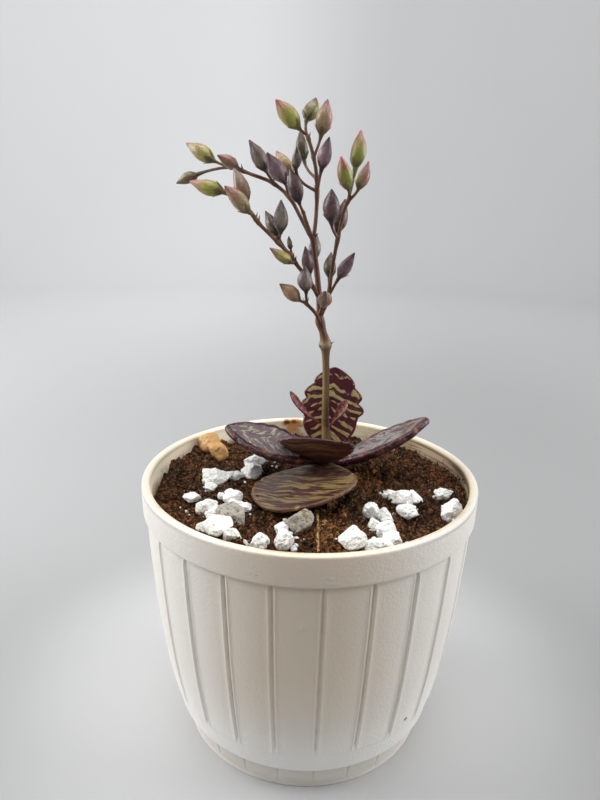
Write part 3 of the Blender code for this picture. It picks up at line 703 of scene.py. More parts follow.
        # Painted highlights on the flecks and the flow mark.
        colour = graph.over(colour, self.painted_light_cream, relief_and_glints, 0.55)
        scuff = graph.noise(graph.stretched(place, (70.0, 70.0, 420.0)), 1.0, 4.0, roughness=0.7)
        scuff = graph.times(graph.span(scuff, 0.58, 0.78), 0.14)
        rough = graph.plus(0.4, graph.times(worn, 0.08), scuff, graph.times(inside, 0.15))
        peel = graph.use(Effect.GRAIN, place, scale=1100.0)
        normal = graph.bump(graph.plus(peel, graph.times(relief_and_glints, 1.6)), 0.13)
        return {"Base Color": colour, "Roughness": rough, "Normal": normal}


@dataclass(frozen=True)
class CoirSoil(Finish):
    """Damp crumbly coir: near-black painted shade in fine hollows, red-brown crumbs and ochre fibre dust.
    """

    # Painted shade for the fine hollows between crumbs.
    hollow_shade: Colour = tone(22, 12, 8)
    crumb: Colour = tone(98, 66, 40)
    dust: Colour = tone(176, 132, 82)
    plain: ClassVar[dict[str, float]] = {"Specular IOR Level": 0.2}

    def paint(self, graph: Graph, place: Socket) -> dict[str, Socket]:
        broad = graph.patches(place, 90.0, 0.35, cover=0.55)
        colour = graph.mix(broad, graph.colour("tint"), self.crumb)
        specks = graph.patches(place, 950.0, 0.1, cover=0.4)
        colour = graph.over(colour, self.dust, specks, 0.6)
        # Painted shade: near-black fine hollows, also pressed in by the bump.
        fine = graph.patches(place, 1100.0, 0.08, cover=0.52)
        colour = graph.over(colour, self.hollow_shade, fine, 0.8)
        height = graph.use(Effect.GRAIN, place, scale=1500.0)
        height = graph.minus(height, graph.times(fine, 0.7))
        rough = graph.span(fine, 0.0, 1.0, (0.86, 1.0))
        return {"Base Color": colour, "Roughness": rough, "Normal": graph.bump(height, 0.7)}


@dataclass(frozen=True)
class CrushedPerlite(Finish):
    """Chalky white grit: fine pits, greyish patches, soil dust low down and a rusty stain."""

    chalk: Colour = tone(245, 245, 241)
    shade: Colour = tone(196, 190, 176)
    cloudy: Colour = tone(130, 116, 90)
    pit: Colour = tone(120, 106, 86)
    soil: Colour = tone(122, 88, 58)
    rust: Colour = tone(206, 140, 66)
    plain: ClassVar[dict[str, float]] = {"Specular IOR Level": 0.25}

    def paint(self, graph: Graph, place: Socket) -> dict[str, Socket]:
        grey = graph.patches(place, 260.0, 0.3, cover=0.4)
        colour = graph.mix(graph.times(grey, 0.6), self.chalk, self.shade)
        cloudy = graph.times(graph.value("grey"), graph.span(grey, -0.6, 0.6))
        colour = graph.mix(cloudy, colour, self.cloudy)
        pits = graph.patches(place, 1500.0, 0.14, cover=0.3)
        colour = graph.over(colour, self.pit, pits, 0.5)
        low = graph.minus(1.0, graph.value("lift"))
        rough_edge = graph.noise(place, 420.0, 3.0)
        dirty = graph.span(graph.plus(low, rough_edge), 1.05, 1.5)
        colour = graph.over(colour, self.soil, dirty, 0.55)
        patch = graph.patches(place, 330.0, 0.3)
        rust = graph.times(patch, graph.value("stain"), 0.8)
        colour = graph.mix(rust, colour, self.rust)
        height = graph.use(Effect.GRAIN, place, scale=1200.0)
        height = graph.minus(height, graph.times(pits, 0.5))
        rough = graph.span(grey, 0.0, 1.0, (0.85, 0.97))
        return {"Base Color": colour, "Roughness": rough, "Normal": graph.bump(height, 0.75)}


@dataclass(frozen=True)
class WaxyStone(Finish):
    """A smooth ochre stone with cloudy bands and a dull wax."""

    light: Colour = tone(178, 136, 80)
    deep: Colour = tone(128, 82, 36)
    crust: Colour = tone(98, 66, 36)

    def paint(self, graph: Graph, place: Socket) -> dict[str, Socket]:
        cloud = graph.patches(place, 190.0, 0.35)
        colour = graph.mix(cloud, self.light, self.deep)
        crust = graph.patches(place, 600.0, 0.2, cover=0.25)
        colour = graph.over(colour, self.crust, crust, 0.6)
        rough = graph.span(crust, 0.0, 1.0, (0.5, 0.8))
        normal = graph.bump(graph.use(Effect.GRAIN, place, scale=900.0), 0.16)
        return {"Base Color": colour, "Roughness": rough, "Normal": normal}


@dataclass(frozen=True)
class LeafSkin(Finish):
    """A waxy leaf: broken bands and fine streaks on each face, and a thick blotched margin.

    The chart that the bands follow runs along the blade, one unit to forty millimetres. The
    flush is a tint of the blade's left side.
    """

    ground: Colour = tone(78, 22, 36)
    band: Colour = tone(172, 160, 104)
    streak: Colour = tone(96, 50, 54)
    under_ground: Colour = tone(62, 22, 26)
    under_band: Colour = tone(124, 92, 56)
    margin: Colour = tone(72, 18, 28)
    blotch: Colour = tone(168, 104, 60)
    fleck: Colour = tone(172, 142, 84)
    flush: Colour = tone(150, 112, 116)
    bands: float = 10.0
    lean: float = 0.45
    waver: float = 0.12
    breaks: float = 5.0
    order: float = 0.13
    cover: float = 0.5
    softness: float = 0.06
    streaking: float = 0.3
    flushing: float = 0.0
    tip_from: float = 9.0
    under_cover: float = 0.35
    spots: float = 0.42
    roughness: float = 0.34
    plain: ClassVar[dict[str, float]] = {"IOR": 1.45, "Coat Weight": 0.12, "Coat Roughness": 0.3}

    def paint(self, graph: Graph, place: Socket) -> dict[str, Socket]:
        chart = graph.node("UVMap", uv_map="UVMap").outputs["UV"]
        stripe = {"bands": self.bands, "lean": self.lean, "waver": self.waver}
        stripe.update({"breaks": self.breaks, "order": self.order, "softness": self.softness})
        upper = graph.use(Effect.STRIPES, chart, cover=self.cover, **stripe)
        lower = graph.use(Effect.STRIPES, chart, cover=self.under_cover, **stripe)
        thin = {"bands": 2.6 * self.bands, "breaks": 3.1 * self.breaks, "order": 0.0}
        fine = graph.use(Effect.STRIPES, chart, cover=0.5, **{**stripe, **thin, "softness": 0.14})
        face = graph.mix(upper, self.ground, self.band)
        face = graph.over(face, self.streak, fine, self.streaking)
        along, side, _ = graph.split(chart)
        patch = graph.patches(place, 150.0, 0.4)
        flush = graph.times(graph.span(side, -0.08, -0.36), self.flushing, graph.span(patch, -0.8, 1.0))
        face = graph.mix(flush, face, self.flush)
        back = graph.mix(lower, self.under_ground, self.under_band)
        back = graph.over(back, self.under_ground, fine, 0.5)
        colour = graph.mix(graph.value("side"), back, face)
        deep = graph.patches(place, 420.0, 0.35)
        colour = graph.over(colour, self.margin, deep, 0.22)
        freckle = graph.use(Effect.FRECKLES, place, scale=700.0, size=0.12)
        blot = graph.patches(place, 330.0, 0.12, cover=self.spots)
        freckle = graph.most(graph.times(freckle, 0.55), blot)
        kind = graph.patches(place, 210.0, 0.1, cover=0.45)
        edge = graph.mix(freckle, self.margin, graph.mix(kind, self.blotch, self.fleck))
        ripe = graph.span(along, self.tip_from, self.tip_from + 0.16)
        ripe = graph.times(ripe, graph.span(patch, -0.9, 0.9))
        colour = graph.mix(ripe, colour, edge)
        ragged = graph.times(graph.noise(place, 620.0, 2.5), 0.8)
        rim = graph.span(graph.plus(graph.value("rim"), ragged), 0.8, 1.0)
        colour = graph.mix(rim, colour, edge)
        colour = graph.mix(graph.value("neck"), colour, self.margin)
        height = graph.use(Effect.GRAIN, place, scale=1500.0)
        relief = graph.plus(graph.times(upper, 0.4), fine)
        height = graph.plus(height, graph.times(relief, 0.7))
        rough = graph.plus(self.roughness, graph.times(deep, 0.12))
        return {"Base Color": colour, "Roughness": rough, "Normal": graph.bump(height, 0.13)}


@dataclass(frozen=True)
class TintedSkin(Finish):
    """Plant skin whose points carry its tint: mottled, freckled and finely grained."""

    freckle: Colour = tone(70, 30, 40)
    pale: Colour = tone(206, 186, 160)
    roughness: float = 0.42
    relief: float = 0.09
    coat: float = 0.1
    plain: ClassVar[dict[str, float]] = {"IOR": 1.44, "Coat Roughness": 0.25}

    def paint(self, graph: Graph, place: Socket) -> dict[str, Socket]:
        deep = graph.patches(place, 620.0, 0.35)
        darker = graph.mix(1.0, graph.colour("tint"), (0.55, 0.5, 0.52), "MULTIPLY")
        colour = graph.mix(graph.times(deep, 0.75), graph.colour("tint"), darker)
        fleck = graph.value("fleck")
        dots = graph.use(Effect.FRECKLES, place, scale=1700.0, size=0.12)
        colour = graph.over(colour, self.freckle, dots, fleck)
        bloom = graph.patches(place, 1300.0, 0.2, cover=0.4)
        bloom = graph.times(bloom, graph.times(fleck, 0.6))
        colour = graph.mix(bloom, colour, self.pale)
        height = graph.use(Effect.GRAIN, place, scale=2200.0)
        rough = graph.plus(self.roughness, graph.times(deep, 0.15))
        look = {"Base Color": colour, "Roughness": rough, "Coat Weight": self.coat}
        return {**look, "Normal": graph.bump(height, self.relief)}


@dataclass(frozen=True)
class PlainFloor(Finish):
    """The pale sheet behind and under the pot, with painted light and shade: lighter by the foot, greyer
    round the pot, lighter far off, and greyer towards the right.
    """

    paper: Colour = (0.985, 0.99, 1.0)
    # Painted light and shade on the floor: lighter by the foot, darker round the pot, lighter far off and
    # on the left.
    lit_pool_by_the_foot: float = 0.47
    shade_around_the_pot: float = 0.27
    lit_far_gain: float = 0.385
    lit_left_gain: float = 1.17
    shaded_right_gain: float = 0.88

    def paint(self, graph: Graph, place: Socket) -> dict[str, Socket]:
        flat = graph.node("VectorMath", {0: place, 1: (1.0, 1.0, 0.0)}, operation="MULTIPLY")
        away = graph.node("VectorMath", {0: flat.outputs[0]}, operation="LENGTH").outputs["Value"]
        # Painted light and shade: a pool of light by the foot, shade round the pot, more light far off and
        # from the left.
        near = graph.span(away, 0.045, 0.13, (self.lit_pool_by_the_foot, self.shade_around_the_pot))
        far = graph.span(away, 0.26, 1.05, (0.0, self.lit_far_gain))
        light_slope = graph.span(graph.split(place)[0], -0.2, 0.2, (self.lit_left_gain, self.shaded_right_gain))
        cloud = graph.patches(place, 6.0, 0.5)
        share = graph.times(graph.plus(near, far), light_slope, graph.span(cloud, 0.0, 1.0, (1.0, 0.96)))
        return {
            "Base Color": graph.mix(share, (0.0, 0.0, 0.0), self.paper),
            "Roughness": graph.span(cloud, 0.0, 1.0, (0.85, 0.95)),
        }


# The pot


@dataclass
class Pot:
    """A moulded barrel of shallow staves under a plain rim band, on a foot ring set back a little."""

    height: float = 86.5
    rim_radius: float = 52.5
    lip_width: float = 2.6
    lip_depth: float = 2.2
    flare_from: float = 76.0
    band_bottom: float = 77.0
    wall_top: float = 51.2
    taper: float = 4.5
    belly: float = 5.1
    thickness: float = 2.0
    flange_radius: float = 39.5
    flange_height: float = 0.9
    foot_inset: float = 1.05
    foot_top: float = 9.3
    taper_end: float = 5.6
    floor: float = 2.4
    staves: int = 24
    phase: float = 5.0
    groove_width: float = 1.45
    groove_depth: float = 0.44
    groove_bottom: float = 18.0
    panel_rise: float = 0.14
    stave_crown: float = 0.1
    drains: int = 6
    drain_radius: float = 3.0
    drain_circle: float = 24.0
    bead: float = 0.19
    flat_columns: int = 8
    wall_rows: int = 62
    warp: float = 0.09
    finish: PotPlastic = PotPlastic("pot_ivory_plastic")

    def wall(self, z: Array | float) -> Array:
        """Outer radius: a straight taper plus a belly that grows with the cube of the drop."""
        drop = np.clip((self.band_bottom - z) / (self.band_bottom - self.taper_end), 0, 1)
        return self.wall_top - self.taper * drop - self.belly * drop**3

    def inner(self, z: Array | float) -> Array:
        """Inner radius, one wall's thickness in."""
        return self.wall(z) - self.thickness

    def inside_wall(self, z: Array | float) -> Array:
        """Inner radius up to the lip: the wall's, then a straight line to the lip's edge."""
        top, lip = self.height - self.lip_depth, self.rim_radius - self.lip_width
        rise = np.interp(z, [self.flare_from, top], [self.inner(self.flare_from), lip])
        return np.where(np.asarray(z) > self.flare_from, rise, self.inner(z))

    @staticmethod
    def rounded(corners: list[Row], steps: int = 6) -> Array:
        """A broken line with a quadratic arc at each corner, between the two points that lie the
        corner's rounding away from it.

        Args:
            corners: rows of radius, height and rounding. The two ends have no rounding.
            steps: points on each arc.
        """
        rows = np.asarray(corners, float)
        spots, rounds = rows[:, :2], rows[1:-1, 2, None]
        corner = spots[1:-1]
        before = corner + unit(spots[:-2] - corner) * rounds
        after = corner + unit(spots[2:] - corner) * rounds
        t = np.linspace(0, 1, steps)[None, :, None]
        arcs = before[:, None] * (1 - t) ** 2 + corner[:, None] * 2 * t * (1 - t)
        arcs = (arcs + after[:, None] * t**2).reshape(-1, 2)
        return np.vstack([spots[:1], arcs, spots[-1:]])

    def outline(self) -> tuple[Array, Array]:
        """The section from the underside up the outside, over the lip and down to the floor.

        Returns:
            Rows of radius and height, and for each row whether it lies inside the pot.
        """
        notch_top = self.foot_top - 0.4
        foot = self.wall(notch_top) - self.foot_inset
        base = [
            (self.flange_radius - 2.0, 0, 0),
            (self.flange_radius, 0, 0.35),
            (self.flange_radius, self.flange_height, 0.35),
            (self.flange_radius - 0.15, self.flange_height + 0.4, 0.2),
            (foot, notch_top, 0.25),
            (self.wall(notch_top) + 0.16, notch_top + 0.35, 0.3),
            (self.wall(self.foot_top + 2), self.foot_top + 2, 0),
        ]
        base = self.rounded(base)
        wall_z = np.linspace(self.foot_top + 2.5, self.band_bottom - 0.8, self.wall_rows)
        wall_z = np.union1d(wall_z, self.groove_bottom + np.linspace(-1.9, 0.1, 6))
        wall = np.column_stack([self.wall(wall_z), wall_z])
        lip = self.rim_radius - self.lip_width
        band = [
            (self.wall(self.band_bottom), self.band_bottom - 0.6, 0),
            (self.wall_top, self.band_bottom, 0.35),
            (self.rim_radius - 0.15, self.band_bottom + 0.5, 0.6),
            (self.rim_radius, self.height - self.lip_depth, 0.4),
            (self.rim_radius, self.height, 0.8),
            (lip, self.height, 0.9),
            (lip, self.height - self.lip_depth, 0.8),
            (self.inner(self.flare_from), self.flare_from, 0),
        ]
        band = self.rounded(band, 8)
        inner_z = np.linspace(74.0, 8.0, 14)
        inner = np.column_stack([self.inner(inner_z), inner_z])
        low = self.inner(self.taper_end)
        floor = self.rounded([(low, 6.5, 0), (low - 0.5, self.floor, 1.6), (33.0, self.floor, 0)])
        turned_in = smooth(band[:, 0], self.rim_radius - 0.9, lip + 0.5) * (band[:, 1] > 80)
        turned_in[-1] = 1
        outside, inside = np.zeros(len(base) + len(wall)), np.ones(len(inner) + len(floor))
        rows = np.vstack([base, wall, band, inner, floor])
        return rows, np.concatenate([outside, turned_in, inside])

    def columns(self) -> tuple[Array, Array, Array]:
        """Angles round the pot, close together at each groove and the beads on its two sides.

        Returns:
            Angles, how deep in its groove each lies, and how high on its stave's crown and bead.
        """
        half = self.groove_width / 2
        pitch = 2 * math.pi * self.wall_top / self.staves
        near = np.array([0.0, 0.3, 0.6, 0.9, 1.1, 1.3, 1.6, 2.0]) * half
        near = np.concatenate([-near[:0:-1], near])
        flat = np.linspace(near[-1], pitch - near[-1], self.flat_columns + 2)[1:-1]
        offset = np.concatenate([near, flat])
        deep = np.cos(np.clip(offset / half, -1, 1) * math.pi / 2) ** 1.5
        crown = self.stave_crown * np.sin(np.clip(offset / pitch, 0, 1) * math.pi)
        crown = crown + self.bead * np.exp(-(((np.abs(offset) / half - 1.3) / 0.3) ** 2))
        angles = full_turn(self.staves)[:, None] + offset / self.wall_top
        angles = angles + math.radians(self.phase - 90)
        return angles.ravel(), np.tile(deep, self.staves), np.tile(crown, self.staves)

    def surface(self) -> Surface:
        """The whole pot as one turned grid, its grooves pressed in along the staves."""
        outline, within = self.outline()
        radius, z = outline[:, :1], outline[:, 1:]
        angles, deep, crown = self.columns()
        outer = 1 - within[:, None]
        run = smooth(z, self.groove_bottom - 0.7, self.groove_bottom + 1.2)
        run = run * smooth(z, self.band_bottom - 0.1, self.band_bottom - 0.5)
        notch = smooth(z, 1.4, 2.0) * smooth(z, self.foot_top - 0.1, self.foot_top - 0.7)
        pressed = (run + 0.95 * notch) * deep * outer
        panel = smooth(z, self.groove_bottom - 1.7, self.groove_bottom - 0.9)
        panel = panel * smooth(z, self.band_bottom - 0.4, self.band_bottom - 2.0) * outer
        spread = radius - self.groove_depth * pressed + panel * (self.panel_rise + crown)
        points = turned(spread, angles, z)
        warp = self.warp * Noise(3).layered(points, 16.0, 2) * smooth(z, 2.0, 12.0)
        points = turned(spread + warp + self.blemish(points), angles, z)
        inside = np.broadcast_to(within[:, None], spread.shape)
        # Painted shadow under the foot's ledge, kept with the grooves' dirt and shade for the colour.
        ledge_shadow = 0.7 * np.exp(-(((z - self.foot_top + 0.5) / 0.35) ** 2)) * outer
        soiled_and_shaded = np.maximum(pressed, ledge_shadow)
        return Surface.lofted(points, {"groove": soiled_and_shaded, "inside": inside})

    def blemish(self, points: Array) -> Array:
        """A small curled flow mark on the front: a bell-shaped rise with a dent beside it."""
        across, up = points[..., 0] + 0.7, points[..., 2] - 64.9 - 0.25 * points[..., 0]
        front = points[..., 1] < 0
        rise = np.exp(-((across / 1.8) ** 2) - (up / 0.7) ** 2)
        dent = np.exp(-(((across + 0.5) / 1.5) ** 2) - ((up + 1.2) / 0.5) ** 2)
        return front * (0.34 * rise - 0.2 * dent)

    def build(self) -> None:
        """The pot with its drain holes cut through the floor."""
        pot = show("moulded_pot", [self.surface()], [self.finish], "pot", "pot")
        centres = circle(full_turn(self.drains) + math.pi / self.drains) * self.drain_circle
        drills = np.empty((self.drains, 2, 24, 3))
        drills[..., :2] = centres[:, None, None] + circle(full_turn(24)) * self.drain_radius
        drills[..., 2] = np.array([[-3.0], [self.floor + 3.0]])
        cutter = placed("drain_cutter", mesh_from("drain_cutter", [Surface.lofted(drills)]))
        cut = pot.modifiers.new("drains", "BOOLEAN")
        cut.operation = "DIFFERENCE"
        cut.solver = "MANIFOLD"
        cut.object = cutter
        bpy.context.view_layer.update()
        finished = pot.evaluated_get(bpy.context.evaluated_depsgraph_get())
        drilled = bpy.data.meshes.new_from_object(finished)
        pot.modifiers.clear()
        pot.data = drilled
        bpy.data.objects.remove(cutter)


# Soil and grit


def spins(chance: np.random.Generator, count: int) -> Array:
    """Random rotations: the matrices of quaternions spread evenly over a sphere.

    Args:
        chance: the source of the random numbers.
        count: how many 3 x 3 matrices.
    """
    w, x, y, z = unit(chance.normal(size=(count, 4))).T
    rows = [
        [1 - 2 * (y * y + z * z), 2 * (x * y - w * z), 2 * (x * z + w * y)],
        [2 * (x * y + w * z), 1 - 2 * (x * x + z * z), 2 * (y * z - w * x)],
        [2 * (x * z - w * y), 2 * (y * z + w * x), 1 - 2 * (x * x + y * y)],
    ]
    return np.moveaxis(np.array(rows), -1, 0)


@dataclass
class SoilBed:
    """The coir root ball: a level with mounds and a ripple, crumbled, with a well for the stem."""

    pot: Pot
    level: float = 79.5
    ripple: float = 0.35
    ripple_length: float = 15.0
    mounds: tuple[Row, ...] = (
        (6, 10, 2.6, 15), (-42, 24, 2.2, 10), (30, 24, 1.6, 11), (44, 0, 1.4, 10), (8, -30, 2.2, 8),
        (-48, -2, -1.2, 9),
    )
    stem_foot: Span = (6.2, 9.5)
    well_radius: float = 2.5
    well_bottom: float = 76.0
    rings: int = 140
    columns: int = 540
    crumb_count: int = 7600
    wall_crumbs: int = 130
    fibre_count: int = 190
    relief: tuple[Span, ...] = ((5.2, 0.91), (2.1, 0.8), (0.95, 0.5))
    warm_places: tuple[Row, ...] = (
        (1.5, 8, -31, 80, 80), (0.8, 34, 8, 130, 190), (0.9, -38, -22, 60, 160),
    )
    dark: Colour = tone(50, 32, 21)
    brown: Colour = tone(93, 61, 37)
    russet: Colour = tone(112, 68, 36)
    ochre: Colour = tone(158, 112, 64)
    pale_straw: Colour = tone(188, 146, 100)
    straw_path: tuple[Point, ...] = (
        (2.6, -21.5, 82.4), (2.8, -29.0, 82.9), (2.7, -36.0, 82.6), (2.9, -42.6, 82.3),
    )
    finish: CoirSoil = CoirSoil("damp_coir")

    def ground(self, x: Array, y: Array) -> Array:
        """The smooth top: the level, a bell-shaped rise for each mound, and the ripple."""
        wave = 2 * math.pi / self.ripple_length
        height = self.level + self.ripple * np.sin(wave * x + 0.6) * np.cos(wave * y - 0.3)
        for mound_x, mound_y, rise, spread in self.mounds:
            apart = (x - mound_x) ** 2 + (y - mound_y) ** 2
            height = height + rise * np.exp(-apart / (2 * spread**2))
        return height

    def top(self, x: Array, y: Array) -> Array:
        """The crumbled top: for each size of crumb, lumps of twice the noise's distance from 0,
        which leaves narrow clefts where the noise changes sign."""
        flat = np.stack([x, y, 0 * x], -1)
        height = self.ground(x, y)
        for seed, (size, rise) in enumerate(self.relief):
            height = height + rise * (2 * np.abs(Noise(40 + seed).at(flat, size)) - 0.5)
        return height

    def tint(self, points: Array) -> Array:
        """Soil colours: noise picks dark, brown or russet, with ochre dust on some patches."""
        broad = Noise(51).layered(points, 9.0)
        fine = Noise(52).layered(points, 1.9)
        warm = np.zeros(points.shape[:-1])
        for strength, x, y, spread_x, spread_y in self.warm_places:
            apart = (points[..., 0] - x) ** 2 / spread_x + (points[..., 1] - y) ** 2 / spread_y
            warm = warm + strength * np.exp(-apart)
        level = 0.9 * fine + 0.7 * broad + 0.55 * warm
        brown = smooth(level, -0.35, 0.2)[..., None]
        russet = smooth(level, 0.1, 0.6)[..., None]
        ochre = (smooth(level, 0.55, 1.0) * np.clip(0.25 + warm, 0, 1))[..., None]
        colour = blend(blend(self.dark, self.brown, brown), self.russet, russet)
        return blend(colour, self.ochre, ochre)

    def surface(self) -> Surface:
        """Rings from the stem's well over the top to the wall, and down it to the floor."""
        around = circle(full_turn(self.columns))
        hole = np.array(self.stem_foot) + around * self.well_radius
        edge_z = self.ground(*(around * self.pot.inner(self.level)).T)
        edge = around * (self.pot.inside_wall(edge_z) + 0.15)[:, None]
        share = np.linspace(0, 1, self.rings)[:, None, None]
        flat = hole + (edge - hole) * share
        bed = np.concatenate([flat, self.top(flat[..., 0], flat[..., 1])[..., None]], -1)
        well = np.column_stack([hole, np.full(self.columns, self.well_bottom)])[None]
        depths = np.array([72.0, 50.0, 26.0, 8.0])
        side = around * (self.pot.inner(depths) - 0.25)[:, None, None]
        side = np.concatenate([side, depths[:, None, None] + 0 * side[..., :1]], -1)
        floor = np.column_stack([around * 36.5, np.full(self.columns, self.pot.floor + 0.3)])[None]
        rings = np.concatenate([well, bed, side, floor])
        return Surface.tinted(rings, self.tint(rings))

    def crumbs(self) -> Surface:
        """Loose crumbs: knobbly lumps of three rings of four, turned at random on the bed, and
        smaller ones splashed on the inner wall at the right."""
        chance = np.random.default_rng(61)
        count, splashed = self.crumb_count, self.wall_crumbs
        reach = (self.pot.inner(self.level) - 0.9) * np.sqrt(chance.uniform(0, 1, count))
        turn = chance.uniform(0, 2 * math.pi, count)
        x, y = reach * circle(turn).T
        size = np.clip(chance.lognormal(-0.7, 0.45, count), 0.2, 1.6) / 2
        centre = np.stack([x, y, self.top(x, y) + 0.3 * size], -1)
        turn = np.radians(chance.normal(22, 26, splashed))
        z = self.level + 0.8 + np.abs(chance.normal(0, 1.5, splashed))
        reach = self.pot.inside_wall(z) - 0.05
        centre = np.concatenate([centre, turned(reach, turn, z)])
        size = np.concatenate([size, chance.uniform(0.12, 0.42, splashed)])
        rows = np.array([0.5, 1.0, 0.6])[:, None, None]
        heights = np.array([-0.8, 0.05, 0.75])[:, None, None]
        angle = (np.arange(4)[None, :] + np.array([[0.0], [0.5], [0.0]])) * math.pi / 2
        lump = np.concatenate([circle(angle) * rows, np.broadcast_to(heights, (3, 4, 1))], -1)
        lumps = lump * chance.uniform(0.65, 1.35, (len(size), 3, 4, 1))
        lumps = lumps * chance.uniform(0.6, 1.25, (len(size), 1, 1, 3))
        lumps = np.einsum("nij,nrcj->nrci", spins(chance, len(size)), lumps)
        rings = centre[:, None, None] + size[:, None, None, None] * lumps
        shade = chance.uniform(0.3, 1.7, (len(size), 1, 1, 1))
        return Surface.tinted(rings, self.tint(centre)[:, None, None] * shade)

    def fibres(self) -> Surface:
        """Coir hairs: thin tubes along short arcs that lie on the crumbs, their middles lifted."""
        chance = np.random.default_rng(62)
        count = self.fibre_count
        reach = (self.pot.inner(self.level) - 4.5) * np.sqrt(chance.uniform(0.02, 1, count))
        turn = chance.uniform(0, 2 * math.pi, count)
        t = np.linspace(-0.5, 0.5, 9)
        length = chance.uniform(2.0, 7.5, count)[:, None]
        bend = chance.normal(0, 1.1, count)[:, None]
        heading = chance.uniform(0, 2 * math.pi, count)[:, None] + bend * t
        x = (reach * np.cos(turn))[:, None] + length * t * np.cos(heading)
        y = (reach * np.sin(turn))[:, None] + length * t * np.sin(heading)
        lift = chance.uniform(0.1, 0.7, count)[:, None] * np.cos(math.pi * t)
        paths = np.stack([x, y, self.ground(x, y) + 0.45 + lift], -1)
        radii = chance.uniform(0.05, 0.11, count)[:, None] * (1 - 1.2 * t**2)
        rings = tube_rings(paths, radii, 4, (0.1, 0.2, 1.0))
        return Surface.tinted(rings, np.array(self.ochre) * chance.uniform(0.35, 1.1, (count, 1, 1, 1)))

    def straw(self) -> Surface:
        """One pale straw that leans from the front leaf onto the rim's inside."""
        path = curve(self.straw_path, 7)
        radii = 0.36 + 0.05 * np.sin(np.arange(len(path)) * 0.9)
        rings = tube_rings(path, radii, 10, (0.1, 0.0, 1.0))
        return Surface.tinted(rings, self.pale_straw)

    def build(self) -> None:
        """The root ball, its loose crumbs, and its fibres with the straw."""
        show("coir_root_ball", [self.surface()], [self.finish], "soil", "soil")
        show("loose_crumbs", [self.crumbs()], [self.finish], "soil")
        show("coir_hairs", [self.fibres(), self.straw()], [self.finish], "soil")


@dataclass(frozen=True)
class Stone:
    """A grain of grit: its centre, its three sizes, its turn in degrees, rust and greyness."""

    x: float
    y: float
    long: float
    deep: float
    high: float
    turn: float = 0.0
    rust: float = 0.0
    grey: float = 0.0


@dataclass
class Grit:
    """Crushed white stones in heaps and alone, with the chips and dust that lie among them."""

    bed: SoilBed
    heaps: dict[str, tuple[Stone, ...]]
    facets: int = 14
    squareness: float = 44.0
    sunk: float = 0.42
    chips: int = 130
    finish: CrushedPerlite = CrushedPerlite("crushed_white_grit")

    def grain(
        self, stone: Stone, seed: int, rows: int = 40, columns: int = 56, roughness: float = 1.0
    ) -> Surface:
        """A rounded polyhedron: along each direction the reach is the soft minimum over the
        facets of a facet's distance over the cosine to it, then noise and pits are pressed in.

        Args:
            stone: its place, sizes, rust and greyness.
            seed: picks its facets.
            rows: rings from top to bottom.
            columns: points round a ring.
            roughness: how strong the noise and the pits are.
        """
        chance = np.random.default_rng(seed)
        index = np.arange(self.facets)
        z = 1 - (2 * index + 1) / self.facets
        turn = GOLDEN_ANGLE * index + chance.uniform(0, 2 * math.pi)
        normals = np.stack([np.cos(turn), np.sin(turn)]) * np.sqrt(1 - z * z)
        normals = unit(np.vstack([normals, z]).T + chance.normal(0, 0.24, (self.facets, 3)))
        away = chance.uniform(0.66, 1.0, self.facets)
        down = np.linspace(0.04, math.pi - 0.04, rows)[:, None]
        ray = np.empty((rows, columns, 3))
        ray[..., :2] = np.sin(down)[..., None] * circle(full_turn(columns))
        ray[..., 2] = np.cos(down)
        facing = np.clip(ray @ normals.T, 0, None) / away
        reach = np.sum(facing**self.squareness, -1) ** (-1 / self.squareness)
        shape = ray * reach[..., None]
        low, high = shape.min((0, 1)), shape.max((0, 1))
        shape = (2 * shape - low - high) / (high - low)
        half = np.array([stone.long, stone.deep, stone.high * 2 * (1 - self.sunk)]) / 2
        body = shape * half
        noise = Noise(seed + 500)
        rough = 0.26 * noise.layered(body, 2.4, 2) + 0.2 * noise.layered(body + 5, 0.8, 2)
        pits = smooth(noise.at(body + 9, 0.8), 0.3, 0.6) * 0.3
        body = body + ray * (rough - pits)[..., None] * roughness
        along = circle(math.radians(stone.turn))
        across = circle(math.radians(stone.turn + 90))
        flat = (stone.x, stone.y) + body[..., :1] * along + body[..., 1:2] * across
        base = self.bed.ground(np.float64(stone.x), np.float64(stone.y)) + self.sunk * stone.high
        tall = base + body[..., 2]
        wall = self.bed.pot.inside_wall(tall) - 0.1
        keep = np.minimum(1.0, wall / np.linalg.norm(flat, axis=-1))
        points = np.concatenate([flat * keep[..., None], tall[..., None]], -1)
        layers = {"lift": (shape[..., 2] + 1) / 2, "stain": np.full(tall.shape, stone.rust)}
        return Surface.lofted(points, {**layers, "grey": np.full(tall.shape, stone.grey)})

    def chip_stones(self) -> list[Stone]:
        """Chips from half a millimetre to two, strewn round the stones."""
        chance = np.random.default_rng(71)
        stones = [stone for heap in self.heaps.values() for stone in heap]
        near = chance.integers(0, len(stones), self.chips)
        turn = chance.uniform(0, 2 * math.pi, self.chips)
        size = np.clip(chance.lognormal(-0.25, 0.45, self.chips), 0.45, 2.3)
        chips = []
        for i, angle, side in zip(near, turn, size):
            away = stones[i].long * chance.uniform(0.5, 0.95)
            x = stones[i].x + away * math.cos(angle)
            y = stones[i].y + away * math.sin(angle)
            shrink = min(1.0, 47.0 / math.hypot(x, y))
            chips.append(Stone(x * shrink, y * shrink, side * 1.2, side, side * 1.1, 57 * angle))
        return chips

    def build(self) -> None:
        """One piece for each heap or lone stone, and one for all chips."""
        for place, (name, stones) in enumerate(self.heaps.items()):
            seeds = itertools.count(100 * place + 7)
            grains = [self.grain(stone, seed) for stone, seed in zip(stones, seeds)]
            show(f"{name}_stones", grains, [self.finish], "grit", name)
        chips = [self.grain(chip, 3000 + i, 8, 10, 0.25) for i, chip in enumerate(self.chip_stones())]
        show("grit_chips", chips, [self.finish], "grit")


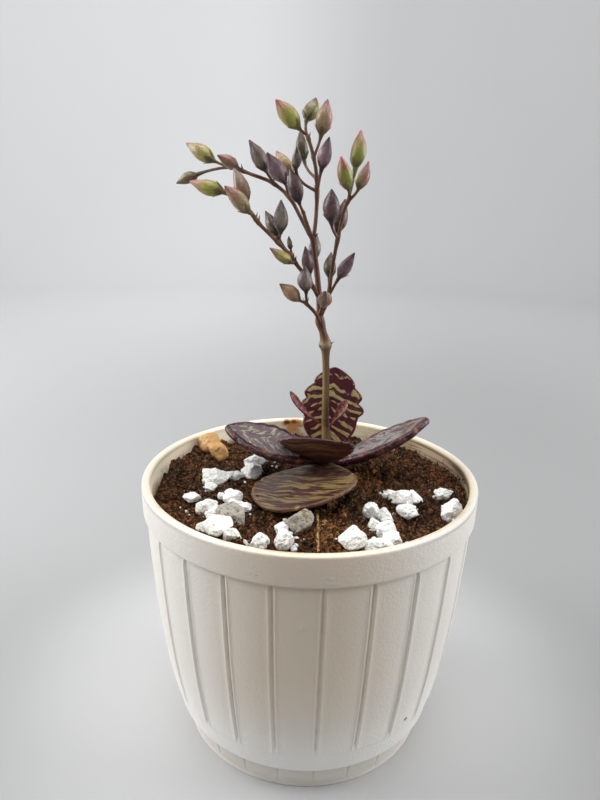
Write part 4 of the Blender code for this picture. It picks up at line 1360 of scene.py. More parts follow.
@dataclass
class OchreStone(Grit):
    """The one smooth ochre stone at the back of the bed: a tall lump with a lower one beside it."""

    lumps: tuple[Stone, ...] = (
        Stone(-36.6, 27.4, 9.6, 7.6, 7.0, -30), Stone(-33.2, 23.0, 11.0, 6.0, 5.0, -42),
    )
    facets: int = 10
    squareness: float = 6.0
    finish: WaxyStone = WaxyStone("ochre_waxy_stone")

    def build(self) -> None:
        """The stone as one piece."""
        grains = [self.grain(lump, 23 + i, roughness=0.65) for i, lump in enumerate(self.lumps)]
        show("ochre_pebble", grains, [self.finish], "ochre_stone", "ochre_stone")


# Leaves


@dataclass(frozen=True)
class Leaf:
    """A blade that grows from its base along an azimuth, its rise changing evenly to the tip."""

    name: str
    skin: LeafSkin
    base: Point
    azimuth: float
    rise: Span
    roll: float
    length: float
    width: float
    cup: float
    thickness: float = 2.8
    lobes: int = 6
    scallop: float = 0.06
    widest: float = 0.50
    bluntness: float = 0.60
    fullness: float = 1.10
    neck: float = 0.14
    neck_share: float = 0.2
    swell: float = 0.25
    tip_thinning: float = 0.35
    wave: float = 0.3
    margin_above: float = 0.7
    margin_below: float = 1.7
    stations: int = 150
    corner: int = 5
    flat: int = 10
    chart: float = 40.0
    slot: str = "leaf"

    def half_width(self, share: Array, shift: Array | float, depth: Array | float = 1.0) -> Array:
        """Half the blade's width: a sine power from the neck to the widest place, a cosine power
        from there to the tip, notched between rounded scallops.

        Args:
            share: shares of the blade's length.
            shift: how far the scallops are moved along the margin, in scallops.
            depth: how deep the notches are, as a share of the blade's own.
        """
        quarter = math.pi / 2
        widen = np.sin(quarter * np.clip(share / self.widest, 0, 1)) ** self.fullness
        inner = self.neck + (1 - self.neck) * widen
        beyond = np.clip((share - self.widest) / (1 - self.widest), 0, 1)
        outer = np.cos(quarter * beyond) ** self.bluntness
        margin = np.clip((share - self.neck_share) / (1 - self.neck_share), 0, 1)
        wave = np.abs(np.sin(math.pi * (self.lobes * margin + shift * margin * (1 - margin) * 4)))
        notch = self.scallop * depth * (1 - wave) * smooth(share, 0.1, self.neck_share + 0.05)
        notch = notch if self.lobes else 0.0
        return self.width / 2 * np.where(share > self.widest, outer, inner) * (1 - notch)

    def midrib(self, share: Array) -> tuple[Array, Array]:
        """Places and headings along the midrib: headings rise evenly, places are their sum."""
        fine = np.linspace(0, 1, 201)
        rise = np.radians(self.rise[0] + (self.rise[1] - self.rise[0]) * fine)
        turn = math.radians(self.azimuth)
        flat = np.array([math.cos(turn), math.sin(turn), 0.0])
        heading = np.cos(rise)[:, None] * flat + np.sin(rise)[:, None] * np.array([0, 0, 1.0])
        steps = (heading[1:] + heading[:-1]) / 2 * self.length / 200
        line = np.array(self.base) + np.vstack([np.zeros(3), np.cumsum(steps, axis=0)])
        columns = [np.interp(share, fine, values[:, k]) for values in (line, heading) for k in range(3)]
        return np.stack(columns[:3], -1), np.stack(columns[3:], -1)

    def section(self) -> tuple[Array, Array, Array, Array]:
        """One turn round a section: a quarter circle at each corner and level faces between.

        Returns:
            For each point its side, 1 right and -1 left; its face, 1 upper and -1 lower; its
            turn round the corner, from 0 at the edge to a quarter circle; and its share of the
            way from the corner to the midrib.
        """
        arc = np.linspace(0, math.pi / 2, self.corner)
        turn = np.concatenate([arc, np.full(self.flat, math.pi / 2)])
        level = (np.arange(self.flat) + 1) / self.flat
        inward = np.concatenate([np.zeros(self.corner), level**1.3])
        count = len(turn)
        there, back = np.arange(count), np.arange(count - 1)[::-1]
        order = np.concatenate([there, back, there[1:], back[:-1]])
        runs = [count, count - 1, count - 1, count - 2]
        return (
            np.repeat([1.0, -1.0, -1.0, 1.0], runs),
            np.repeat([1.0, 1.0, -1.0, -1.0], runs),
            turn[order],
            inward[order],
        )

    def surface(self, seed: int) -> Surface:
        """A thick blade: level faces with round edges, swollen to the midrib, cupped across by
        the square of the reach, rippled by noise and carried along the midrib.

        Args:
            seed: picks the margin's unevenness and the faces' waves.
        """
        share = 0.5 - 0.5 * np.cos(np.linspace(0.03, math.pi - 0.05, self.stations))
        place, ahead = self.midrib(share)
        turn = math.radians(self.azimuth)
        level = np.array([-math.sin(turn), math.cos(turn), 0.0])
        upright = np.cross(ahead, level)
        roll = math.radians(self.roll)
        side = level * math.cos(roll) + upright * math.sin(roll)
        face = upright * math.cos(roll) - level * math.sin(roll)
        hand, upper, corner, inward = self.section()
        chance = np.random.default_rng(seed)
        right, left = chance.uniform(-0.25, 0.25, 2)
        uneven = np.interp(share, np.linspace(0, 1, 9), chance.uniform(0.7, 1.25, 9))[:, None]
        share = share[:, None]
        widths = self.half_width(share, right, uneven), self.half_width(share, left, uneven[::-1])
        width = np.where(hand > 0, *widths)
        broad = min(1.0, self.width / 10)
        thick = np.minimum(self.thickness / 2 * (1 - self.tip_thinning * share**2), 0.8 * width)
        from_edge = (width - thick) * inward
        reach = hand * (width - thick - from_edge + thick * np.cos(corner))
        rib = np.exp(-((reach / 0.9) ** 2)) * (1 - share) ** 0.5 * broad
        bulge = self.swell * (1 - (1 - inward) ** 2) * smooth(width, 0.5, 5.0)
        bulge = bulge - np.where(upper > 0, 0.22, -0.2) * rib * (inward > 0)
        lift = self.cup * reach**2 / (self.width / 2) + upper * (thick * np.sin(corner) + bulge)
        flat = np.stack([reach, share * self.length + 0 * reach, 0 * reach + seed], -1)
        noise = Noise(seed)
        ripple = noise.layered(flat, 5.0, 2) * 0.3 + noise.layered(flat + 31, 1.6, 2) * 0.1
        edge = self.wave * np.abs(reach / self.width * 2) ** 3 * noise.at(flat + 77, 7.0)
        lift = lift + (ripple + edge) * smooth(share, 0, 0.15) * broad
        points = place[:, None] + reach[..., None] * side[:, None] + lift[..., None] * face[:, None]
        chart = np.stack([share * self.length / self.chart + 0 * reach, reach / self.chart], -1)
        border = np.where(upper > 0, self.margin_above, self.margin_below)
        layers = {
            "uv": chart,
            "side": (0.5 + 0.5 * upper * np.sin(corner)) + 0 * reach,
            "rim": np.maximum(1 - from_edge / (2 * border), smooth(share, 0.95, 0.99)).clip(0, 1),
            "neck": smooth(share, 0.1, 0.01) + 0 * reach,
        }
        return Surface.lofted(points, layers)

    def build(self, seed: int) -> None:
        """The blade in the place of its solid."""
        show(f"{self.name}_blade", [self.surface(seed)], [self.skin], self.slot, self.name)


# Flower stalk and buds


@dataclass(frozen=True)
class BudTint:
    """A bud's colours: calyx, body, the body's other flank and tip, and how freckled it is."""

    calyx: Colour
    body: Colour
    flank: Colour
    tip: Colour
    freckles: float = 0.55


class Hue(Enum):
    """The kinds of bud colouring on the stalk."""

    LIME = BudTint(tone(110, 98, 56), tone(158, 160, 74), tone(168, 126, 94), tone(158, 74, 84))
    FRESH = BudTint(tone(108, 104, 54), tone(142, 148, 70), tone(146, 108, 72), tone(184, 92, 112))
    OLIVE = BudTint(tone(88, 80, 50), tone(118, 122, 66), tone(108, 90, 62), tone(98, 70, 54))
    PEACH = BudTint(tone(104, 92, 58), tone(166, 122, 96), tone(148, 128, 86), tone(104, 58, 56))
    BRONZE = BudTint(tone(100, 78, 56), tone(140, 114, 80), tone(132, 106, 90), tone(102, 70, 66))
    MAUVE = BudTint(tone(72, 50, 50), tone(138, 112, 118), tone(104, 80, 90), tone(72, 46, 56))
    PLUM = BudTint(tone(62, 46, 44), tone(102, 78, 80), tone(80, 58, 62), tone(58, 40, 44))
    SMOKE = BudTint(tone(74, 64, 54), tone(130, 118, 108), tone(94, 80, 80), tone(62, 52, 52))
    ROSE = BudTint(tone(104, 92, 58), tone(156, 136, 98), tone(154, 108, 96), tone(142, 74, 84), 0.9)
    PEPPER = BudTint(tone(104, 88, 52), tone(164, 156, 86), tone(160, 132, 94), tone(138, 84, 80), 1.0)
    UMBER = BudTint(tone(64, 54, 38), tone(90, 88, 54), tone(78, 58, 50), tone(58, 46, 38), 0.3)


@dataclass(frozen=True)
class Bud:
    """A flower bud: where its pedicel leaves the branch, its ends, its girth and colouring."""

    share: float
    base: Point
    tip: Point
    girth: float
    hue: Hue

    PROFILE = (
        (-0.16, 0.22), (-0.09, 0.32), (-0.02, 0.48), (0.06, 0.68), (0.15, 0.86), (0.28, 0.99),
        (0.45, 0.98), (0.62, 0.80), (0.77, 0.54), (0.88, 0.32), (0.95, 0.18), (0.99, 0.09), (1.0, 0.03),
    )
    TWIST = math.radians(75)
    PETALS = 4
    COLUMNS = 40

    def axes(self) -> tuple[Array, Array, Array, float]:
        """The bud's axis, the two directions across it, and its length."""
        run = np.subtract(self.tip, self.base)
        length = float(np.linalg.norm(run))
        axis = run / length
        across = unit(np.cross(axis, (0.2, 1.0, 0.1)))
        return axis, across, np.cross(axis, across), length

    def around(self, share: Array, angle: Array, radius: Array, sway: float = 0.0) -> Array:
        """Points round the axis, which itself sways sideways by a half sine of the share."""
        axis, across, other, length = self.axes()
        drift = sway * np.sin(math.pi * np.clip(share, 0, 1))
        ring = np.cos(angle)[..., None] * across + np.sin(angle)[..., None] * other
        middle = np.array(self.base) + axis * (length * share)[..., None]
        return middle + drift[..., None] * across + radius[..., None] * ring

    def girth_at(self, share: Array) -> Array:
        """The radius that the profile gives, in millimetres."""
        rows = curve(self.PROFILE, 5)
        return np.interp(share, rows[:, 0], rows[:, 1]) * self.girth / 2

    def body(self, seed: int, skin: int) -> Surface:
        """Furled petals: the profile turned round the axis, stepped by a saw-tooth ridge where
        each petal overlaps the next, the ridges winding from base to tip."""
        chance = np.random.default_rng(seed)
        share = curve([(row[0],) for row in self.PROFILE], 3)
        share, angle = np.broadcast_arrays(share, full_turn(self.COLUMNS))
        start = chance.uniform(0, 2 * math.pi)
        wound = (angle - self.TWIST * share - start) * self.PETALS / (2 * math.pi)
        part = wound - np.floor(wound)
        ridge = np.minimum(part / 0.8, (1 - part) / 0.2)
        strength = 0.02 + 0.15 * smooth(share, 0.3, 0.85)
        keel = np.cos(self.PETALS * (angle - start)) * 0.05 * smooth(share, 0.5, 0.1)
        radius = self.girth_at(share) * (1 + (ridge - 0.6) * strength + keel)
        sway = chance.normal(0, 0.14)
        place = self.around(share, angle, radius, sway)
        lumps = Noise(seed).layered(place, 1.7, 2) * 0.06 * self.girth / 4
        points = self.around(share, angle, radius + lumps, sway)
        tints = self.colours(share, angle, ridge, place, seed)
        fleck = self.hue.value.freckles * smooth(share, 0, 0.3)
        return Surface.tinted(points, tints, skin, fleck=fleck)

    def colours(self, share: Array, angle: Array, ridge: Array, place: Array, seed: int) -> Array:
        """Calyx colour at the base, body and flank on either side, tip colour at the point, and
        darker lines where the petals overlap."""
        hue = self.hue.value
        patch = Noise(seed + 900).layered(place, 1.5, 3)
        flank = smooth(np.cos(angle - 0.7 * seed) + 0.9 * patch, 0.0, 0.9)
        flank = np.maximum(flank, 0.85 * smooth(share + 0.3 * patch, 0.3, 0.75))
        colour = blend(hue.body, hue.flank, flank[..., None])
        colour = blend(colour, hue.tip, smooth(share + 0.14 * patch, 0.74, 0.97)[..., None])
        colour = blend(colour, hue.calyx, smooth(share + 0.12 * patch, 0.13, -0.02)[..., None])
        seam = smooth(ridge, 0.35, 0.0) * smooth(share, 0.35, 0.8)
        return colour * (1 - 0.45 * seam[..., None])

    def sepals(self, seed: int, skin: int) -> Surface:
        """Four pointed calyx lobes: thin shells that hug the body, their tips eased outwards."""
        t = np.linspace(0.02, 0.99, 9)[:, None]
        turn = full_turn(10)
        share = (-0.06 + 0.27 * t) * np.ones(10)
        half = math.radians(38) * (1 - t) ** 0.7
        start = 0.7 * seed
        lobes = []
        for k in range(4):
            angle = start + k * math.pi / 2 + half * np.cos(turn)
            radius = self.girth_at(share) * (1 + 0.04 * t) + 0.04 + 0.1 * np.sin(turn)
            radius = radius + 0.1 * smooth(t, 0.6, 1.0)
            lobes.append(self.around(share, angle, radius))
        ripe = 0.7 * smooth(t, 0.3, 1.0)[..., None]
        tints = blend(self.hue.value.calyx, self.hue.value.body, ripe) * 0.92
        return Surface.tinted(np.stack(lobes), tints, skin, fleck=0.3)


@dataclass
class Flowering:
    """A spray: its branch, the pedicels and buds on it, and a scale leaf at each fork."""

    name: str
    path: tuple[Point, ...]
    buds: tuple[Bud, ...]
    branch_radius: float = 0.62
    branch_taper: float = 0.85
    pedicel_radius: float = 0.42
    straight: float = 0.45
    rind: Colour = tone(106, 60, 50)
    young: Colour = tone(122, 100, 62)
    scale_colour: Colour = tone(70, 44, 34)
    finishes: tuple[TintedSkin, ...] = (
        TintedSkin("stalk_skin", roughness=0.5, relief=0.1, coat=0.0),
        TintedSkin("bud_skin", roughness=0.34, relief=0.12, coat=0.25),
    )

    def stalk_tint(self, points: Array, young: float) -> Array:
        """Red-brown rind, greener where young, with streaks from stretched noise."""
        streak = Noise(81).layered(points * np.array([1, 1, 0.25]), 0.9, 2)[..., None]
        side = smooth(streak, -0.3, 0.5)
        return blend(self.rind, self.young, young + 0.3 * side) * (0.8 + 0.3 * side)

    def branch(self) -> Surface:
        """A tapered tube whose girth swells where the pedicels leave it."""
        path = curve(self.path, 7)
        share = np.linspace(0, 1, len(path))
        forks = np.array([bud.share for bud in self.buds])
        swell = np.exp(-(((share[:, None] - forks) / 0.03) ** 2)).max(1)
        radii = self.branch_radius * (1 - (1 - self.branch_taper) * share) + 0.2 * swell
        rings = tube_rings(path, radii, 14, (0.3, 0.9, 0.1))
        rings = rings + 0.03 * Noise(83).at(rings, 0.9)[..., None]
        return Surface.tinted(rings, self.stalk_tint(rings, 0.15), fleck=0.4)

    def root_of(self, bud: Bud) -> Array:
        """The point of the branch at which a bud's pedicel starts."""
        path = curve(self.path, 7)
        share = np.linspace(0, 1, len(path))
        return np.array([np.interp(bud.share, share, path[:, k]) for k in range(3)])

    def pedicel(self, bud: Bud) -> Surface:
        """A quadratic curve from the branch that ends in line with the bud, and flares into it."""
        axis = bud.axes()[0]
        root, base = self.root_of(bud), np.array(bud.base)
        middle = base - axis * self.straight * np.linalg.norm(base - root)
        t = np.linspace(0, 1, 14)[:, None]
        path = (1 - t) ** 2 * root + 2 * t * (1 - t) * middle + t**2 * base
        flare = smooth(t[:, 0], 0.55, 1.0) ** 1.5 * (bud.girth * 0.2 - self.pedicel_radius)
        foot = 0.16 * smooth(t[:, 0], 0.25, 0.0)
        radii = self.pedicel_radius + flare + foot
        rings = tube_rings(path, radii, 12, (0.3, 0.9, 0.1))
        rings = rings + 0.02 * Noise(84).at(rings, 0.8)[..., None]
        ripe = smooth(t, 0.4, 1.0)[..., None]
        tints = blend(self.stalk_tint(rings, 0.35), bud.hue.value.calyx, ripe)
        return Surface.tinted(rings, tints, fleck=0.3)

    def scales(self) -> Surface:
        """Small pointed scale leaves, one below each fork: flattened cones that curve upwards."""
        t = np.linspace(0, 1, 8)[:, None, None]
        lobes = []
        for i, bud in enumerate(self.buds):
            root = self.root_of(bud)
            away = unit(np.subtract(bud.base, root)) * 0.7 + np.array([0, 0, 0.35])
            away = unit(away + np.random.default_rng(i + 31).normal(0, 0.45, 3))
            side = unit(np.cross(away, (0.1, 0.2, 1.0)))
            spine = root + away * (0.2 + 1.7 * t) + np.array([0, 0, 0.5]) * t**2
            lobes.append(pointed_scale(spine, side, np.cross(away, side), 0.42))
        return Surface.tinted(np.stack(lobes), self.scale_colour, fleck=0.2)

    def surfaces(self) -> list[Surface]:
        """All surfaces of the spray: skin 0 for stalks and scales, skin 1 for buds."""
        parts = [self.branch()]
        for i, bud in enumerate(self.buds):
            seed = sum(map(ord, self.name)) + 13 * i
            parts += [self.pedicel(bud), bud.body(seed, 1), bud.sepals(seed, 1)]
        return parts + [self.scales()]

    def build(self) -> None:
        """The spray in the place of its solid."""
        show(f"{self.name}_buds", self.surfaces(), self.finishes, "bud", self.name)


@dataclass
class Stem(Flowering):
    """The leafy stem and the flower stalk up to its last fork, with its own side bud."""

    axis: tuple[Row, ...] = (
        (6.2, 9.5, 69.0, 2.0), (6.2, 9.5, 80.5, 2.3), (6.1, 9.2, 84.5, 3.3), (5.9, 9.2, 88.0, 3.0),
        (5.5, 9.6, 91.0, 1.9), (5.2, 10.0, 94.5, 1.55), (4.6, 10.0, 101.0, 1.2),
        (4.5, 10.0, 112.0, 1.1), (4.1, 10.0, 122.5, 1.25), (3.9, 10.0, 125.5, 2.1),
        (3.6, 10.0, 127.5, 1.5), (2.9, 10.0, 130.0, 1.15), (2.0, 10.0, 133.0, 1.5),
        (1.7, 10.0, 136.0, 1.0), (1.5, 10.0, 140.0, 0.95), (0.5, 10.0, 148.5, 0.85),
        (-0.5, 10.0, 155.0, 0.8), (-1.0, 10.0, 159.0, 1.05),
    )
    # olive and shade: the lower stalk's lit left side and its right side in painted shade.
    olive: Colour = tone(128, 104, 62)
    shade: Colour = tone(74, 46, 32)
    upper: Colour = tone(98, 58, 44)
    # crown: painted near-black shade where the stalk sits among the leaf bases.
    crown: Colour = tone(30, 9, 12)
    knot: Colour = tone(164, 152, 118)
    sides: int = 28
    node_scales: tuple[Span, ...] = (
        (125.0, 215.0), (126.0, -20.0), (133.4, 80.0), (158.6, 200.0), (159.0, -35.0),
    )

    def stalk(self) -> Surface:
        """The tube along the axis: faint ribs, lumps at the nodes, olive below with painted shade on its
        right side and painted near-black shade among the leaf bases, red-brown above.
        """
        path = curve(self.axis, 9)
        spine, radii = path[:, :3], path[:, 3]
        rings = tube_rings(spine, radii, self.sides, (0.0, 1.0, 0.0))
        rib = 0.03 * np.cos(4 * full_turn(self.sides) + 1.0)
        low = smooth(spine[:, 2], 118, 96)[:, None]
        lumps = 0.07 * Noise(91).layered(rings * np.array([1, 1, 0.4]), 1.6, 3)
        outward = rings - spine[:, None]
        rings = spine[:, None] + outward * (1 + rib * (1 - low) + lumps)[..., None]
        streak = Noise(92).layered(rings * np.array([1, 1, 0.15]), 1.0, 2)
        # Painted light and shade: olive on the left of the stalk, shade on its right.
        side = smooth(unit(outward)[..., 0] + 0.5 * streak, -0.2, 0.7)[..., None]
        height = spine[:, 2, None, None]
        red = np.array(self.upper) * (0.85 + 0.3 * smooth(streak, -0.4, 0.5)[..., None])
        colour = blend(blend(self.olive, self.shade, side), red, smooth(height, 112, 134))
        # Painted shade: near-black low on the stalk among the leaf bases.
        under = smooth(height, 94, 90)
        colour = blend(colour, self.crown, under)
        knot = 0.6 * np.exp(-(((height - 125.8) / 1.5) ** 2))
        fleck = 0.35 * (1 - under[..., 0])
        return Surface.tinted(rings, blend(colour, self.knot, knot), fleck=fleck)

    def node_leaves(self) -> Surface:
        """Dry scale tips round the thick nodes: flattened cones that stand off the stalk."""
        path = curve(self.axis, 9)
        t = np.linspace(0, 1, 8)[:, None, None]
        lobes = []
        for z, azimuth in self.node_scales:
            x, y, girth = (np.interp(z, path[:, 2], path[:, k]) for k in (0, 1, 3))
            out = np.array([*circle(math.radians(azimuth)), 0.0])
            side = np.array([-out[1], out[0], 0.0])
            lean = unit(out * 0.8 + np.array([0, 0, 0.75]))
            spine = np.array([x, y, z]) + out * girth * 0.85 + lean * 1.7 * t
            lobes.append(pointed_scale(spine, side, np.cross(lean, side), 0.5))
        return Surface.tinted(np.stack(lobes), self.scale_colour, fleck=0.2)

    def build(self) -> None:
        """The stalk in the place of its solid."""
        parts = [self.stalk(), self.node_leaves(), *self.surfaces()]
        show("flower_stalk", parts, self.finishes, "stem", self.name)


# Studio


@dataclass(frozen=True)
class SoftBox:
    """A soft square light: its place, its edge, its power in watts and its colour."""

    name: str
    place: Point
    size: float
    power: float
    colour: Colour = (1.0, 1.0, 1.0)
    aim: Point = (0.0, 0.0, 90.0)

    def build(self) -> None:
        """The lamp, turned to its aim and hidden from the camera."""
        lamp = bpy.data.lights.new(self.name, "AREA")
        lamp.size = self.size * MM
        lamp.energy = self.power
        lamp.color = self.colour
        item = placed(self.name, lamp)
        item.location = Vector(self.place) * MM
        ahead = Vector(self.aim) - Vector(self.place)
        item.rotation_euler = ahead.to_track_quat("-Z", "Y").to_euler()
        item.visible_camera = False


@dataclass
class Studio:
    """A pale sweep, soft light from the sides and above, and the photograph's camera."""

    floor_radius: float = 1000.0
    bend_radius: float = 450.0
    wall_height: float = 900.0
    around: int = 96
    world: Colour = (0.82, 0.83, 0.84)
    world_strength: float = 0.04
    lights: tuple[SoftBox, ...] = (
        SoftBox("left_light", (-520.0, 60.0, 330.0), 420.0, 3.75),
        SoftBox("right_light", (520.0, 40.0, 300.0), 420.0, 2.85),
        SoftBox("top_light", (0.0, -260.0, 660.0), 420.0, 1.75),
        SoftBox("wall_light", (0.0, 200.0, 900.0), 700.0, 12.6, aim=(0.0, 1450.0, 200.0)),
    )
    eye: Point = (0.0, -200.2184, 174.2012)
    focal_pixels: float = 680.0
    frame_pixels: float = 800.0
    sensor: float = 36.0
    elevation: float = 29.7
    yaw: float = 1.0
    lift: float = 12.0
    roll: float = -1.8
    finish: PlainFloor = PlainFloor("pale_sweep")

    def sweep(self) -> None:
        """The floor: a flat disc that bends up through a quarter circle into a low wall."""
        bend = np.linspace(0.08, math.pi / 2, 14)
        flat = np.linspace(20.0, self.floor_radius, 12)
        radius = np.concatenate([flat, self.floor_radius + self.bend_radius * np.sin(bend)])
        z = np.concatenate([0 * flat, self.bend_radius * (1 - np.cos(bend))])
        radius = np.append(radius, radius[-1])[:, None]
        z = np.append(z, self.wall_height)[:, None]
        radius, z, turn = np.broadcast_arrays(radius, z, full_turn(self.around))
        made = Surface.lofted(turned(radius, turn, z))
        made.fans = made.fans[: self.around]
        floor = placed("pale_sweep", mesh_from("pale_sweep", [made]))
        floor.data.materials.append(self.finish.material())

    def camera(self) -> None:
        """The camera: a level look tilted by the elevation, then turned by yaw, lift and roll."""
        tilt = math.radians(self.elevation)
        ahead = Vector((0.0, math.cos(tilt), -math.sin(tilt)))
        right = Vector((1.0, 0.0, 0.0))
        above = right.cross(ahead)
        yaw = Matrix.Rotation(math.radians(self.yaw), 3, above)
        ahead, right = yaw @ ahead, yaw @ right
        lift = Matrix.Rotation(math.radians(self.lift), 3, right)
        ahead, above = lift @ ahead, lift @ above
        roll = Matrix.Rotation(math.radians(self.roll), 3, ahead)
        right, above = roll @ right, roll @ above
        lens = bpy.data.cameras.new("photo_camera")
        lens.sensor_fit = "VERTICAL"
        lens.sensor_width = lens.sensor_height = self.sensor
        lens.lens = self.focal_pixels * self.sensor / self.frame_pixels
        lens.clip_start, lens.clip_end = 0.005, 20.0
        camera = placed("photo_camera", lens)
        facing = Matrix((right, above, -ahead)).transposed().to_4x4()
        camera.matrix_world = Matrix.Translation(Vector(self.eye) * MM) @ facing
        bpy.context.scene.camera = camera

    def build(self) -> None:
        """The sweep, the lights, the even surroundings and the camera."""
        self.camera()
        self.sweep()
        for light in self.lights:
            light.build()
        world = bpy.data.worlds.new("even_surroundings")
        world.use_nodes = True
        sky = world.node_tree.nodes["Background"]
        sky.inputs["Color"].default_value = (*self.world, 1.0)
        sky.inputs["Strength"].default_value = self.world_strength
        bpy.context.scene.world = world
        bpy.context.scene.view_settings.view_transform = "Standard"


# This plant's leaves, sprays and stones

LEAVES = (
    # leaf_left: its grey-purple ground is partly the leaf's colour and partly painted sheen from the pale
    # surroundings on the waxy top.
    Leaf("leaf_left", LeafSkin(
        "plum_leaf", ground=tone(108, 92, 98), band=tone(164, 156, 136), streak=tone(60, 42, 50),
        under_ground=tone(40, 16, 18), margin=tone(50, 15, 20), blotch=tone(124, 58, 40),
        fleck=tone(136, 108, 66), bands=30.0, lean=0.7, waver=0.16, breaks=11.0, order=0.03, cover=0.5,
        softness=0.12, streaking=0.85, spots=0.46, roughness=0.3,
    ), (3.45, 9.4, 87.3), 183.4, (13.7, 23.3), -10, 33.3, 20.8, 0.08, widest=0.52,
        bluntness=0.72, neck=0.26, margin_above=1.1, margin_below=2.2),
    # leaf_right: its silver-grey ground is partly the leaf's colour and partly painted sheen from the pale
    # surroundings on the waxy top.
    Leaf("leaf_right", LeafSkin(
        "silver_leaf", ground=tone(146, 136, 130), band=tone(64, 42, 44), streak=tone(76, 54, 58),
        under_ground=tone(42, 15, 20), under_band=tone(90, 62, 44), margin=tone(52, 13, 24),
        blotch=tone(122, 62, 44), fleck=tone(144, 114, 62), bands=22.0, lean=1.0, waver=0.3,
        breaks=16.0, order=0.02, cover=0.58, softness=0.1, streaking=0.6, tip_from=0.5, spots=0.5,
        roughness=0.3,
    ), (8.8, 9.4, 85.7), -1.5, (21.8, 37.3), -4.5, 33.8, 19.2, 0.12, thickness=3.2,
        bluntness=0.66, neck=0.26, margin_above=1.1, margin_below=2.4),
    Leaf("leaf_back", LeafSkin(
        "maroon_banded_leaf", ground=tone(76, 20, 35), band=tone(182, 168, 112),
        streak=tone(104, 36, 48), margin=tone(80, 22, 36), blotch=tone(184, 132, 104), bands=14.0,
        lean=0.35, waver=0.2, breaks=7.5, cover=0.45, softness=0.05, streaking=0.3,
        spots=0.36, roughness=0.42,
    ), (5.5, 12.8, 89.5), 66, (77, 82), 27, 27.5, 21.8, 0.12, thickness=1.6, lobes=3,
        scallop=0.15, neck_share=0.42, widest=0.47, fullness=0.71, bluntness=0.60, margin_above=0.2),
    Leaf("leaf_front_inner", LeafSkin(
        "dusky_leaf", ground=tone(74, 26, 34), under_ground=tone(76, 28, 28),
        under_band=tone(128, 92, 54), margin=tone(64, 16, 24), blotch=tone(112, 60, 48),
        fleck=tone(120, 84, 58), bands=32.0, lean=0.25, breaks=2.2, order=0.08, under_cover=0.5,
        softness=0.1, spots=0.34, roughness=0.36,
    ), (4.8, 6.4, 87.2), -117, (37.0, 57), 9, 16.4, 26, 0.13, thickness=1.0, lobes=9,
        scallop=0.1, widest=0.66, bluntness=0.50, wave=0.5, margin_below=0.4),
    Leaf("leaf_front_lower", LeafSkin(
        "olive_banded_leaf", ground=tone(54, 22, 24), band=tone(118, 100, 58), streak=tone(62, 30, 28),
        margin=tone(100, 70, 46), blotch=tone(84, 46, 38), flush=tone(96, 70, 64), bands=25.0, lean=0.1,
        waver=0.12, breaks=4.5, order=0.06, cover=0.56, softness=0.08, streaking=0.6, flushing=0.45,
        roughness=0.4,
    ), (5.2, 7.1, 85.8), -115.3, (-7.6, -0.6), 11.6, 32.8, 35, 0.05, thickness=1.5,
        lobes=7, scallop=0.02, bluntness=0.55, fullness=0.8, widest=0.47, margin_above=0.35),
    Leaf("bract_left", LeafSkin(
        "maroon_bract", ground=tone(106, 34, 40), band=tone(176, 96, 72), streak=tone(70, 20, 30),
        margin=tone(96, 34, 42), blotch=tone(176, 112, 84), bands=16.0, cover=0.4,
    ), (2.9, 9.0, 99.8), 188, (30, 66), -50, 15.0, 2.6, 0.25, thickness=0.9,
        lobes=0, widest=0.76, fullness=2.4, neck=0.34, swell=0.1, margin_above=0.2,
        margin_below=0.3, stations=60, corner=4, flat=4, slot="bract"),
    Leaf("bract_right", LeafSkin(
        "russet_bract", ground=tone(92, 38, 34), band=tone(150, 96, 64), streak=tone(84, 28, 36),
        margin=tone(112, 52, 50), blotch=tone(186, 124, 92), bands=16.0, order=0.05, cover=0.4,
        streaking=0.5,
    ), (6.2, 9.0, 98.8), -14, (55, 66), 62, 11.0, 3.4, 0.25, thickness=0.8,
        lobes=0, widest=0.72, fullness=2.2, neck=0.22, swell=0.1, margin_above=0.2,
        margin_below=0.3, stations=60, corner=4, flat=4, slot="bract"),
)

